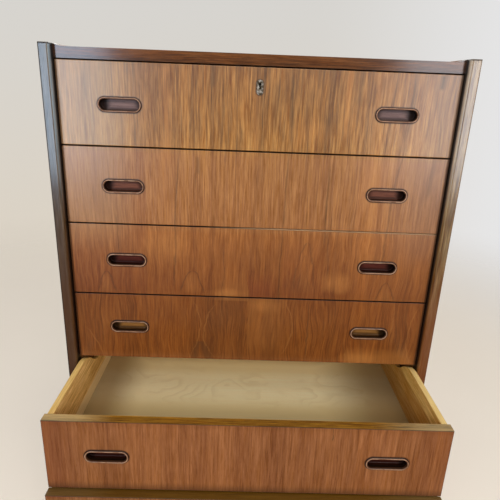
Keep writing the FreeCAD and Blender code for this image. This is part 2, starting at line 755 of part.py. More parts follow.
def make_drawer(drawer, opening):
    """One drawer box: front, two sides, back, bottom and two pulls."""
    y = "(%s - %s)" % (front_y, opening)
    z = drawer_bottom_z(drawer)
    front = make_front(drawer, y, z)
    if drawer == 1:
        make_lock(front, y, z)
    else:
        keep(front)
    side = keep(make_side(drawer, y, z))
    keep(mirrored("drawer_side_right_%d" % drawer, side))
    back_half = "(%s - board_thickness + groove_depth)" % half_box
    keep(box("drawer_back_%d" % drawer, ("-%s" % back_half, "%s + %s" % (y, back_y), "%s + %s" % (z, base_top)),
             ("(2 * %s)" % back_half, "board_thickness", "(%s + %s - %s)" % (side_low, rear_height, base_top))))
    base_start = "(front_thickness - groove_depth)"
    keep(box("drawer_bottom_%d" % drawer,
             ("-%s" % back_half, "%s + %s" % (y, base_start), "%s + %s" % (z, base_low)),
             ("(2 * %s)" % back_half, "(%s + board_thickness - %s)" % (back_y, base_start), "base_thickness")))
    pulls = [make_pull("pull", way, y, z) for way in (-1, 1)]
    keep(joined("pulls_%d" % drawer, pulls))


for number_of_drawer, opening in enumerate(drawer_openings, start=1):
    make_drawer(number_of_drawer, opening)

doc.recompute()

for item in doc.Objects:
    if "Invalid" in item.State or "Error" in item.State:
        raise ValueError("%s did not build: %s" % (item.Label, item.State))
    if item.TypeId == "PartDesign::Pocket" and item.Shape.Volume > item.BaseFeature.Shape.Volume - 1e-6:
        raise ValueError("%s takes nothing away" % item.Label)
for item in subparts:
    if item.Shape.isNull() or not item.Shape.isValid():
        raise ValueError("%s has no valid shape" % item.Label)

os.makedirs("parts", exist_ok=True)
for item in subparts:
    item.Shape.exportStep("parts/%s.step" % item.Label)
    print("%-24s %2d solids %10.1f cm3" % (item.Label, len(item.Shape.Solids), item.Shape.Volume / 1000))
print("%d sub-parts" % len(subparts))
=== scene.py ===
import math

import bmesh
import bpy
from mathutils import Matrix, Vector


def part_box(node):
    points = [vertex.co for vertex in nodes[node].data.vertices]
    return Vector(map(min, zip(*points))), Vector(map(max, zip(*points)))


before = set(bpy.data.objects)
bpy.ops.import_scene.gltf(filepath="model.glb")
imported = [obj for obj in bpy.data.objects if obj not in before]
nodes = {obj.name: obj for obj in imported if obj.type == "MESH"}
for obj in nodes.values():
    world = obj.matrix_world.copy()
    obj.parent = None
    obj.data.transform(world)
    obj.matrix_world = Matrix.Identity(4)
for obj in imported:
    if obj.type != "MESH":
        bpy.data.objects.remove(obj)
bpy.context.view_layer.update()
drawerCount = 6
print("frame loaded,", len(nodes), "nodes")


# Camera, worked out from the straight edges of the case
cameraSettings = {
    "place": (-0.0251, -1.0493, 1.0701),
    "yaw": 0.0196,
    "pitch": 0.3282,
    "roll": 0.0393,
    "focalPixels": 479.88,
    "imagePixels": 500,
    "sensorWidth": 36.0,
    "clipStart": 0.05,
}


def makeCamera(settings):
    yaw, pitch, roll = settings["yaw"], settings["pitch"], settings["roll"]
    forward = Vector((
        math.sin(yaw) * math.cos(pitch),
        math.cos(yaw) * math.cos(pitch),
        -math.sin(pitch),
    ))
    level = Vector((math.cos(yaw), -math.sin(yaw), 0))
    steep = level.cross(forward)
    right = level * math.cos(roll) + steep * math.sin(roll)
    up = steep * math.cos(roll) - level * math.sin(roll)
    lens = bpy.data.cameras.new("camera")
    lens.sensor_width = settings["sensorWidth"]
    lens.lens = settings["focalPixels"] / settings["imagePixels"] * settings["sensorWidth"]
    lens.clip_start = settings["clipStart"]
    camera = bpy.data.objects.new("camera", lens)
    bpy.context.scene.collection.objects.link(camera)
    turn = Matrix((right, up, -forward)).transposed().to_4x4()
    camera.matrix_world = Matrix.Translation(settings["place"]) @ turn
    bpy.context.scene.camera = camera


# Node helpers. A value is a socket to link, a colour code or a plain value, and one of the values
# that a helper is given is a socket, which says whose tree the new node goes into
def tint(code):
    parts = [int(code[i:i + 2], 16) / 255 for i in (1, 3, 5)]
    return tuple(p / 12.92 if p < 0.04045 else ((p + 0.055) / 1.055) ** 2.4 for p in parts) + (1.0,)


def plainValue(value):
    return tint(value) if isinstance(value, str) else value


def feed(socket, value):
    if isinstance(value, bpy.types.NodeSocket):
        socket.id_data.links.new(value, socket)
    else:
        socket.default_value = plainValue(value)


def feedAll(sockets, values):
    for name, value in values.items():
        feed(sockets[name], value)


def newNode(tree, kind):
    return tree.nodes.new("ShaderNode" + kind)


def addNode(kind, inputs, **settings):
    tree = next(value.id_data for value in inputs.values() if isinstance(value, bpy.types.NodeSocket))
    node = newNode(tree, kind)
    for name, value in settings.items():
        setattr(node, name, value)
    feedAll(node.inputs, inputs)
    return node


def calc(operation, *values, clamp=False):
    inputs = dict(enumerate(values))
    return addNode("Math", inputs, operation=operation, use_clamp=clamp).outputs[0]


def times(first, *others):
    for other in others:
        first = calc("MULTIPLY", first, other)
    return first


def timesPlus(value, factor, extra):
    return calc("MULTIPLY_ADD", value, factor, extra)


def plus(first, second):
    return calc("ADD", first, second)


def minus(first, second):
    return calc("SUBTRACT", first, second)


def over(first, second):
    return calc("DIVIDE", first, second)


def most(first, second):
    return calc("MAXIMUM", first, second)


def absolute(value):
    return calc("ABSOLUTE", value)


def combine(operation, *values):
    return addNode("VectorMath", dict(enumerate(values)), operation=operation).outputs[0]


def scaleVector(vector, amount):
    return addNode("VectorMath", {"Vector": vector, "Scale": amount}, operation="SCALE").outputs[0]


def shiftVector(vector, offset):
    return addNode("Mapping", {"Vector": vector, "Location": offset}).outputs[0]


def lengthOf(vector):
    return addNode("VectorMath", {0: vector}, operation="LENGTH").outputs["Value"]


def split(vector):
    return addNode("SeparateXYZ", {"Vector": vector}).outputs


def join(x, y, z):
    return addNode("CombineXYZ", {"X": x, "Y": y, "Z": z}).outputs[0]


def blend(factor, first, second):
    return addNode("Mix", {0: factor, 6: first, 7: second}, data_type="RGBA").outputs[2]


def cover(colour, *coats):  # each coat: where it lies, and its colour
    for where, shade in coats:
        colour = blend(where, colour, shade)
    return colour


def varied(code, tone, spread, base):  # one colour, lighter and darker with the grain
    return scaleVector(tint(code)[:3], timesPlus(tone, spread, base))


def fade(value, low, high, toLow=0.0, toHigh=1.0):
    wanted = {"Value": value, "From Min": low, "From Max": high, "To Min": toLow, "To Max": toHigh}
    return addNode("MapRange", wanted, interpolation_type="SMOOTHSTEP").outputs[0]


def noise(vector, scale, detail=2.0, roughness=0.5, output=0):
    if isinstance(scale, tuple):  # one scale for each axis
        vector, scale = combine("MULTIPLY", vector, scale), 1.0
    wanted = {"Vector": vector, "Scale": scale, "Detail": detail, "Roughness": roughness}
    return addNode("TexNoise", wanted).outputs[output]


def ramp(value, places, colours):
    node = addNode("ValToRGB", {"Fac": value})
    ladder = node.color_ramp.elements
    while len(ladder) < len(places):
        ladder.new(0.5)
    for step, place, colour in zip(ladder, places, colours):
        step.position = place
        step.color = plainValue(colour)
    return node.outputs[0]


def newGroup(name, inputs, outputs):
    tree = bpy.data.node_groups.new(name, "ShaderNodeTree")
    for label, value in inputs.items():
        kind = "Float" if isinstance(value, float) else "Vector" if len(value) == 3 else "Color"
        socket = tree.interface.new_socket(label, in_out="INPUT", socket_type="NodeSocket" + kind)
        socket.default_value = value
    for label, kind in outputs.items():
        tree.interface.new_socket(label, in_out="OUTPUT", socket_type="NodeSocket" + kind)
    given = tree.nodes.new("NodeGroupInput").outputs
    wanted = tree.nodes.new("NodeGroupOutput").inputs
    return tree, given, wanted


def useGroup(group, inputs):
    return addNode("Group", inputs, node_tree=group).outputs


def newMaterial(name):
    material = bpy.data.materials.new(name)
    material.use_nodes = True
    tree = material.node_tree
    tree.nodes.clear()
    shader = newNode(tree, "BsdfPrincipled")
    output = newNode(tree, "OutputMaterial")
    feed(output.inputs["Surface"], shader.outputs[0])
    return material, tree, shader.inputs


def finishSurface(shader, colour, rough, height, strength, distance=0.0004):
    bump = addNode("Bump", {"Height": height, "Strength": strength, "Distance": distance})
    feedAll(shader, {"Base Color": colour, "Roughness": rough, "Normal": bump.outputs[0]})


def polish(shader, look, bare=None):  # bare: where the varnish is gone
    coat = look["coat"]
    feedAll(shader, {
        "Specular IOR Level": look["specular"],
        "Coat Roughness": look["coatRoughness"],
        "Coat Weight": coat if bare is None else timesPlus(bare, -coat, coat),
    })


def objectPoint(tree):
    return newNode(tree, "TexCoord").outputs["Object"]


def facing(tree, axis):
    return split(newNode(tree, "TexCoord").outputs["Normal"])["xyz".index(axis)]


# Wood grain that runs along the vector's Z: wide bands, streaks, veins, fibres and pores
grainParts = {  # stretch across, across and along the grain, then detail and roughness of the noise
    "drift": ((7.0, 7.0, 1.7), 2.0, 0.5),
    "bands": ((1.0, 1.0, 0.023), 2.0, 0.5),
    "streaks": ((8.0, 8.0, 0.23), 4.0, 0.78),
    "veins": ((4.3, 4.3, 0.12), 4.0, 0.65),
    "fibres": ((260.0, 260.0, 18.0), 3.0, 0.6),
    "pores": ((1300.0, 1300.0, 75.0), 1.0, 0.5),
}
grainMix = {
    "bandShare": 0.34,
    "streakShare": 0.66,
    "softness": 0.2,
    "veinRange": (0.54, 0.7),
    "poreRange": (0.6, 0.72),
    "poreShade": 0.25,
    "poreRough": 0.2,
    "fibreTint": (0.95, 1.4, 2.8),  # fibres and pores change blue more than red
    "darkest": (0.1, 0.1, 0.1),
}


def makeWoodGrain(parts, mix):
    tree, given, wanted = newGroup("woodGrain", {
        "Vector": (0.0, 0.0, 0.0),
        "Band Scale": 34.0,
        "Wander": 0.01,
        "Contrast": 1.0,
        "Dark": (0.1, 0.05, 0.02, 1.0),
        "Light": (0.3, 0.15, 0.06, 1.0),
        "Vein": (0.05, 0.02, 0.01, 1.0),
        "Vein Amount": 0.5,
        "Pore Amount": 0.5,
        "Fibre Amount": 1.2,
    }, {"Color": "Color", "Tone": "Float", "Pores": "Float", "Height": "Float"})
    drift = noise(given["Vector"], *parts["drift"], output=1)
    drift = combine("SUBTRACT", drift, (0.5, 0.5, 0.5))
    drift = combine("MULTIPLY", drift, (1.0, 1.0, 0.0))
    moved = combine("ADD", given["Vector"], scaleVector(drift, given["Wander"]))
    across = scaleVector(moved, given["Band Scale"])
    bands = noise(across, *parts["bands"])
    streaks = noise(across, *parts["streaks"])
    mixed = timesPlus(streaks, mix["streakShare"], times(bands, mix["bandShare"]))
    reach = over(mix["softness"], given["Contrast"])
    tone = fade(mixed, minus(0.5, reach), plus(0.5, reach))
    veins = fade(noise(across, *parts["veins"]), *mix["veinRange"])
    fibres = noise(moved, *parts["fibres"])
    pores = fade(noise(moved, *parts["pores"]), *mix["poreRange"])
    colour = blend(tone, given["Dark"], given["Light"])
    colour = blend(times(veins, given["Vein Amount"]), colour, given["Vein"])
    shade = times(minus(fibres, 0.5), given["Fibre Amount"])
    pitted = times(pores, times(given["Pore Amount"], mix["poreShade"]))
    paler = scaleVector(mix["fibreTint"], minus(shade, pitted))
    paler = combine("MAXIMUM", combine("ADD", paler, (1.0, 1.0, 1.0)), mix["darkest"])
    feedAll(wanted, {
        "Color": combine("MULTIPLY", colour, paler),
        "Tone": tone,
        "Pores": pores,
        "Height": minus(times(fibres, 0.5), pores),
    })
    return tree


# Veneer laid in leaves side by side across X: each repeats the figure of its neighbour, a little changed
def makeVeneerLeaves():
    tree, given, wanted = newGroup("veneerLeaves", {
        "Vector": (0.0, 0.0, 0.0),
        "Start": 0.0,
        "Width": 0.2,
        "Change": 0.02,
        "Swirl": 0.01,
        "Ring Width": 0.03,
    }, {"Vector": "Vector", "Leaf Tone": "Float", "Ring": "Float", "Line": "Float"})
    x, y, z = split(given["Vector"])
    leaf = calc("FLOOR", over(minus(x, given["Start"]), given["Width"]))
    inLeaf = minus(x, times(leaf, given["Width"]))
    depth = times(leaf, given["Change"])
    swirl = noise(join(inLeaf, depth, z), (13.0, 9.0, 7.0), 2.0, 0.45)  # slow, a few waves to a leaf
    moved = plus(inLeaf, times(minus(swirl, 0.5), given["Swirl"]))
    ring = calc("FRACT", over(moved, given["Ring Width"]))
    feedAll(wanted, {
        "Vector": join(moved, depth, z),
        "Leaf Tone": addNode("TexWhiteNoise", {"W": leaf}, noise_dimensions="1D").outputs[0],
        "Ring": calc("POWER", ring, 2.5),
        "Line": times(fade(ring, 0.0, 0.05), fade(ring, 0.16, 0.07)),  # a thin line where a ring starts
    })
    return tree


# Nearness to the edges of a board between its lowest and highest corner, worn unevenly
def makeBoardEdges():
    tree, given, wanted = newGroup("boardEdges", {
        "Vector": (0.0, 0.0, 0.0),
        "Low": (0.0, 0.0, 0.0),
        "High": (1.0, 1.0, 1.0),
        "Width": 0.003,
    }, {"Edge": "Float", "Rim": "Float"})
    fromLow = combine("SUBTRACT", given["Vector"], given["Low"])
    fromHigh = combine("SUBTRACT", given["High"], given["Vector"])
    a, b, c = split(combine("MINIMUM", fromLow, fromHigh))
    farther = calc("MINIMUM", most(a, b), c)
    gap = most(calc("MINIMUM", a, b), farther)  # the middle one of the three
    uneven = noise(given["Vector"], 45.0, 3.0, 0.6)
    reach = times(given["Width"], timesPlus(uneven, 2.0, 0.1))  # from a tenth to twice the width
    feedAll(wanted, {
        "Edge": fade(gap, reach, 0.0),
        "Rim": fade(gap, times(given["Width"], 6.0), 0.0),  # a wide soft margin
    })
    return tree


# Fine scratches and soft smudges that handling leaves
def makeHandling():
    tree, given, wanted = newGroup("handling", {
        "Vector": (0.0, 0.0, 0.0),
        "Smudge Scale": 9.0,
    }, {"Smudge": "Float", "Scratch": "Float"})
    smudge = noise(given["Vector"], given["Smudge Scale"], 4.0, 0.6)
    # fine lines, turned so that they follow no edge
    slanted = {"Vector": given["Vector"], "Rotation": (0.4, 0.7, 0.5), "Scale": (300.0, 12.0, 12.0)}
    scratch = noise(addNode("Mapping", slanted).outputs[0], 1.0)
    feedAll(wanted, {
        "Smudge": fade(smudge, 0.35, 0.7),
        "Scratch": fade(scratch, 0.68, 0.74),
    })
    return tree


# Metal with brushing and tarnish in patches
def makeAgedMetal():
    tree, given, wanted = newGroup("agedMetal", {
        "Vector": (0.0, 0.0, 0.0),
        "Clean": (0.6, 0.6, 0.6, 1.0),
        "Tarnish": (0.2, 0.18, 0.15, 1.0),
        "Amount": 0.5,
        "Patch Scale": 120.0,
        "Shine": 0.3,
    }, {"Color": "Color", "Roughness": "Float", "Height": "Float"})
    patches = noise(given["Vector"], given["Patch Scale"], 5.0, 0.65)
    old = fade(plus(patches, times(given["Amount"], 0.5)), 0.6, 0.85)
    brush = noise(given["Vector"], (300.0, 300.0, 2500.0))  # fine lines across Z
    colour = blend(old, given["Clean"], given["Tarnish"])
    rough = plus(given["Shine"], times(old, 0.3))
    feedAll(wanted, {
        "Color": scaleVector(colour, timesPlus(brush, 0.3, 0.85)),
        "Roughness": plus(rough, times(brush, 0.12)),
        "Height": timesPlus(old, -0.4, brush),
    })
    return tree


# One line of the figure: it leans and bends about its middle and fades out at both ends
def makeFigureLine():
    tree, given, wanted = newGroup("figureLine", {
        "Vector": (0.0, 0.0, 0.0),
        "Middle": (0.0, 0.0, 0.0),
        "Lean": 0.0,
        "Bend": 0.0,
        "Wide": 0.002,
        "Tall": 0.05,
    }, {"Line": "Float"})
    x, y, z = split(combine("SUBTRACT", given["Vector"], given["Middle"]))
    curve = times(z, timesPlus(z, given["Bend"], given["Lean"]))
    off = over(minus(x, curve), given["Wide"])
    line = calc("EXPONENT", times(off, off, -1.0))
    ends = fade(over(absolute(z), given["Tall"]), 1.0, 0.55)
    feedAll(wanted, {"Line": times(line, ends)})
    return tree


# One arch of the figure: a line like an upturned U below its peak
def makeFigureArch():
    tree, given, wanted = newGroup("figureArch", {
        "Vector": (0.0, 0.0, 0.0),
        "Peak": (0.0, 0.0, 0.0),
        "Half Width": 0.02,
        "Drop": 0.05,
        "Line Width": 0.002,
    }, {"Line": "Float", "Inside": "Float"})
    x, y, z = split(combine("SUBTRACT", given["Vector"], given["Peak"]))
    across = over(x, given["Half Width"])
    down = over(times(z, -1.0), given["Drop"])
    form = minus(calc("SQRT", most(down, 0.0)), absolute(across))
    off = over(form, over(given["Line Width"], given["Half Width"]))
    line = calc("EXPONENT", times(off, off, -1.0))
    ends = fade(down, 1.2, 0.7)
    above = fade(down, -0.02, 0.03)
    feedAll(wanted, {
        "Line": times(line, ends, above),
        "Inside": times(fade(form, 0.0, 0.5), ends),
    })
    return tree


woodGrain = makeWoodGrain(grainParts, grainMix)
veneerLeaves = makeVeneerLeaves()
boardEdges = makeBoardEdges()
handling = makeHandling()
agedMetal = makeAgedMetal()
figureLine = makeFigureLine()
figureArch = makeFigureArch()
print("node groups made")


def grainOf(vector, look):
    return useGroup(woodGrain, {
        "Vector": vector,
        "Band Scale": look["bandScale"],
        "Wander": look["wander"],
        "Contrast": look["contrast"],
        "Dark": look["dark"],
        "Light": look["light"],
        "Vein": look["vein"],
        "Vein Amount": look["veins"],
        "Pore Amount": look["pores"],
        "Fibre Amount": look.get("fibres", 1.2),
    })


def leavesOf(vector, look):
    return useGroup(veneerLeaves, {
        "Vector": vector,
        "Start": look["leafStart"],
        "Width": look["leafWidth"],
        "Change": look["leafChange"],
        "Swirl": look["swirl"],
        "Ring Width": look["ringWidth"],
    })


def edgesOf(point, node, width):
    low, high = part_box(node)
    return useGroup(boardEdges, {"Vector": point, "Low": low, "High": high, "Width": width})


def woodRoughness(grain, marks, roughness, smudged=0.1):
    rough = timesPlus(grain["Pores"], grainMix["poreRough"], roughness)
    return plus(rough, times(marks["Smudge"], smudged))


# Grain direction: the board's own axis is brought to the vector's Z
def alongGrain(vector, axis):
    x, y, z = split(vector)
    order = {"x": (y, z, x), "y": (z, x, y), "z": (x, y, z)}[axis]
    return join(*order)


def endGrain(tree, axis):
    return fade(absolute(facing(tree, axis)), 0.6, 0.9)


# Solid boards: colours, grain axis and finish of each kind of wood
plainWood = {
    "fibres": 1.2, "bump": 0.12, "coat": 0.0, "coatRoughness": 0.26, "coatIor": 1.5, "specular": 0.2,
    "endAmount": 0.45, "edgeWidth": 0.0015, "edgeAmount": 0.5, "scratchAmount": 0.15,
}
lippingTeak = {
    "axis": "z", "outside": "#7d4c28", "roughness": 0.36,
    "bandScale": 70.0, "wander": 0.006, "contrast": 0.9, "pores": 0.7,
}
drawerWood = {
    "axis": "y", "roughness": 0.5, "coat": 0.1,
    "bandScale": 60.0, "wander": 0.02, "contrast": 1.0, "veins": 0.4, "pores": 0.8,
    "upperFade": (0.5, 0.95, 0.0, 0.6),  # how far the surface turns upwards, for the painted highlight on the top edges
}
woods = {
    # The left lipping's darker, cooler colours are partly painted shade for its dimmer light
    "leftLipping": {
        **lippingTeak,
        "dark": "#30251a", "light": "#5c4b34", "vein": "#20140b", "worn": "#5e4329",
        "shade": "#1c0f07", "arris": "#7f8f9a", "foot": "#4a2a14", "footTop": 1.0, "outline": 0.75,
        "veins": 0.6, "fibres": 2.0, "coat": 0.9, "coatRoughness": 0.15, "specular": 0.3,
    },
    "rightLipping": {
        **lippingTeak,
        "dark": "#523c1e", "light": "#8e6b3a", "vein": "#2c190b", "worn": "#86582e",
        "shade": "#1a0d05", "arris": "#cdbba4", "foot": "#6e3508", "footTop": 0.8, "outline": 0.1,
        "veins": 0.8, "fibres": 2.4, "coat": 1.0, "coatRoughness": 0.18, "coatIor": 1.6, "specular": 0.5,
    },
    "railTeak": {
        # its worn colour is near black, so its edges take painted shade and its scratches show dark
        "axis": "x", "dark": "#3a1f0d", "light": "#70411a", "vein": "#1a0d05", "worn": "#1c0f08",
        "bandScale": 90.0, "wander": 0.02, "contrast": 1.3, "veins": 0.6, "pores": 0.7,
        "roughness": 0.36, "coat": 1.0, "coatRoughness": 0.15, "specular": 0.05,
        "shadedEnds": (0.008, 0.003, 0.75),  # start and end of painted shade before the rail's ends, beside the lippings, amount
    },
    "legTeak": {
        "axis": "z", "dark": "#57331e", "light": "#8a5531", "vein": "#33190f", "worn": "#9b6840",
        "bandScale": 70.0, "wander": 0.006, "contrast": 0.9, "veins": 0.5, "pores": 0.7,
        "roughness": 0.38, "coat": 0.6,
    },
    "leftDrawerSide": {
        **drawerWood,
        "dark": "#ca9342", "light": "#fbcf86", "vein": "#80521f", "worn": "#d8bc80", "upper": "#dabc73",
        "strips": [  # height of the strip's upper edge above the bottom, softness, colour, amount
            (0.048, 0.0015, "#f4d8a4", 0.8),
        ],
    },
    "rightDrawerSide": {
        **drawerWood,
        "dark": "#d99c42", "light": "#ffd884", "vein": "#7d4f1f", "worn": "#e8cf98", "upper": "#d8c78c",
        "strips": [
            (0.096, 0.004, "#ac6b19", 0.5),
            (0.062, 0.0015, "#8a5a2c", 0.3),
        ],
    },
    "backHardwood": {
        "axis": "x", "dark": "#a87f42", "light": "#cfa766", "vein": "#8a642f", "worn": "#dcc08c",
        "bandScale": 45.0, "wander": 0.01, "contrast": 0.8, "veins": 0.3, "pores": 0.8,
        "roughness": 0.55, "specular": 0.4,
    },
    "runnerHardwood": {
        "axis": "y", "dark": "#8c6436", "light": "#b58a54", "vein": "#6e4a26", "worn": "#caa77a",
        "bandScale": 60.0, "wander": 0.006, "contrast": 0.8, "veins": 0.4, "pores": 0.7,
        "roughness": 0.45, "bump": 0.1, "specular": 0.4,
    },
}

# Marks on the case's lippings: where each one starts and ends, and its amount at both places
lippingMarks = {
    "inner": (0.3, 0.8),  # how far the surface turns inwards
    "outside": (-0.9, -0.98),
    "outsideShade": (0.8, 0.6),  # how far the grain lightens it, and the least
    "rubbedShade": (0.6, 0.7),
    "footEnd": 0.55,  # heights
    "footAmount": 0.75,
    "rubbed": (0.80, 1.0, 0.0, 0.85),
    "deep": (0.006, 0.011, 0.0, 0.96),  # depth behind the front face; painted shade on the inner side past it
    "outerLine": (0.0036, 0.0014),  # distances from the outer edge and from the top
    "topLine": (0.0042, 0.0016, 0.8),
}


def markLipping(tree, point, box, grain, wood, inward, colour, marks):
    low, high = box
    x, y, z = split(point)
    turned = times(facing(tree, "x"), inward)
    inner = fade(turned, *marks["inner"])
    outside = fade(turned, *marks["outside"])
    foot = fade(z, wood["footTop"], marks["footEnd"], 0.0, marks["footAmount"])
    # high on the inner side's front the pale arris colour is painted in: a painted sheen like the front's
    # reflection
    rubbed = times(inner, fade(z, *marks["rubbed"]))
    # painted shade deep in the gap on the inner side; dark lines along the outer edge and the top
    deep = times(inner, fade(minus(y, low.y), *marks["deep"]))
    farthest = max(-low.x, high.x)
    start, end = marks["outerLine"]
    outer = fade(times(x, -inward), farthest - start, farthest - end, 0.0, wood["outline"])
    start, end, amount = marks["topLine"]
    top = fade(z, high.z - start, high.z - end, 0.0, amount)
    front = fade(outside, 1.0, 0.0)
    shadeAndDirt = most(deep, times(most(outer, top), front))
    colour = cover(
        colour,
        (foot, wood["foot"]),
        (outside, varied(wood["outside"], grain["Tone"], *marks["outsideShade"])),
        (rubbed, varied(wood["arris"], grain["Tone"], *marks["rubbedShade"])),
        (shadeAndDirt, wood["shade"]))
    return colour, shadeAndDirt


# inward is the direction of the case's middle, for the lippings alone
def makeWood(name, kind, node, seed, inward=0.0):
    wood = {**plainWood, **woods[kind]}
    material, tree, shader = newMaterial(name)
    point = objectPoint(tree)
    low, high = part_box(node)
    shifted = shiftVector(point, (0.37 * seed, 0.23 * seed, 0.51 * seed))
    grain = grainOf(alongGrain(shifted, wood["axis"]), wood)
    ends = times(endGrain(tree, wood["axis"]), wood["endAmount"])
    colour = blend(ends, grain["Color"], wood["vein"])
    # paler top edges: a painted highlight
    if "upper" in wood:
        upward = fade(facing(tree, "z"), *wood["upperFade"])
        colour = blend(upward, colour, wood["upper"])
    for height, soft, shade, amount in wood.get("strips", ()):
        edge = minus(split(point)[2], low.z + height)
        colour = blend(fade(edge, soft, 0.0, 0.0, amount), colour, shade)
    # painted shade on the rail's ends beside the lippings
    if "shadedEnds" in wood:
        start, end, amount = wood["shadedEnds"]
        fromMiddle = absolute(split(point)[0])
        beside = fade(fromMiddle, high.x - start, high.x - end, 0.0, amount)
        colour = blend(beside, colour, wood["vein"])
    if inward:
        colour, bare = markLipping(
            tree, point, (low, high), grain, wood, inward, colour, lippingMarks)
    else:
        worn = edgesOf(point, node, wood["edgeWidth"])["Edge"]
        colour = blend(times(worn, wood["edgeAmount"]), colour, wood["worn"])
        bare = None
    marks = useGroup(handling, {"Vector": point})
    scratches = times(marks["Scratch"], wood["scratchAmount"])
    colour = blend(scratches, colour, wood["worn"])
    rough = woodRoughness(grain, marks, wood["roughness"])
    finishSurface(shader, colour, rough, grain["Height"], wood["bump"])
    polish(shader, wood, bare)
    shader["Coat IOR"].default_value = wood["coatIor"]
    return material


# Distance from the outline of a long oval: below 0 inside it
def ovalDistance(across, along, half, radius):
    beyond = most(minus(absolute(along), half), 0.0)
    return minus(lengthOf(join(beyond, across, 0.0)), radius)


# Recessed pulls: a dark line round the rim, a painted highlight along the rim, and painted shadow in the
# cup towards its ends and walls.
# Each pair is where a mark starts and ends, and two more numbers are its amount at both places
pulls = {
    "length": 0.084,
    "dark": "#4d2e1c", "light": "#7f563b", "vein": "#2b170e",
    "bandScale": 150.0, "wander": 0.005, "contrast": 0.9, "veins": 0.5, "pores": 0.5,
    "roughness": 0.36, "bump": 0.08, "specular": 0.04, "coat": 0.6, "coatRoughness": 0.26,
    "outline": "#241208", "rimHighlight": "#ae8b70", "shadow": "#0e0503",
    "cups": ("#745c58", "#6d4233", "#4a2119", "#7d5429", "#3c1810", "#40200f"),  # from the top drawer
    "rims": (0.5, 1.0, 1.0, 0.8, 0.8, 0.8),
    "unevenScale": 90.0,
    "unevenRange": (0.35, 0.62, 0.2, 0.85),
    "cupShade": (1.0, 0.5),
    "rimOuter": (-0.0014, -0.0020),  # distance from the outline, below 0 inside
    "rimInner": (-0.0034, -0.0028),
    "lineRound": (-0.0018, -0.0008, 0.0, 0.9),
    "lineInside": (-0.0034, -0.0042, 0.0, 0.7),
    "floor": (0.010, 0.013),  # distance behind the front
    "sunk": (0.003, 0.006),
    "outerEnd": (0.016, 0.030),  # along the pull from its middle
    "innerEnd": (-0.022, -0.034, 0.0, 0.6),
    "lowWall": (-0.003, -0.008, 0.0, 0.7),  # height from its middle
    "cupShadowAmount": 0.92,
    "sunkMatt": 0.8,
}


def makePull(name, node, drawer, look):
    material, tree, shader = newMaterial(name)
    point = objectPoint(tree)
    low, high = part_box(node)
    x, y, z = split(point)
    half, radius = look["length"] / 2, (high.z - low.z) / 2
    along = minus(absolute(x), high.x - half)
    across = minus(z, (low.z + high.z) / 2)
    inward = minus(y, low.y)
    fromEdge = ovalDistance(across, along, half - radius, radius)
    shifted = shiftVector(point, (0.29 * drawer, 0.11, 0.43 * drawer))
    grain = grainOf(alongGrain(shifted, "x"), look)
    # painted highlight along the middle of the rim
    outer = fade(fromEdge, *look["rimOuter"])
    lit = times(outer, fade(fromEdge, *look["rimInner"]))
    uneven = fade(noise(point, look["unevenScale"]), *look["unevenRange"])
    uneven = times(uneven, look["rims"][drawer - 1])
    floor = fade(inward, *look["floor"])
    cup = varied(look["cups"][drawer - 1], grain["Tone"], *look["cupShade"])
    sunk = fade(inward, *look["sunk"])
    outerEnd, innerEnd = [fade(along, *look[end]) for end in ("outerEnd", "innerEnd")]
    # painted shadow at the cup's ends and walls
    walls = most(fade(floor, 1.0, 0.5), fade(across, *look["lowWall"]))
    shadeAndDirt = times(most(most(outerEnd, innerEnd), walls), sunk)
    colour = cover(
        grain["Color"],
        (times(lit, uneven), look["rimHighlight"]),
        (fade(fromEdge, *look["lineRound"]), look["outline"]),
        (fade(fromEdge, *look["lineInside"]), look["outline"]),
        (floor, cup),
        (times(shadeAndDirt, look["cupShadowAmount"]), look["shadow"]))
    rough = timesPlus(grain["Pores"], grainMix["poreRough"], look["roughness"])
    finishSurface(shader, colour, rough, grain["Height"], look["bump"])
    polish(shader, look, most(shadeAndDirt, times(sunk, look["sunkMatt"])))
    return material
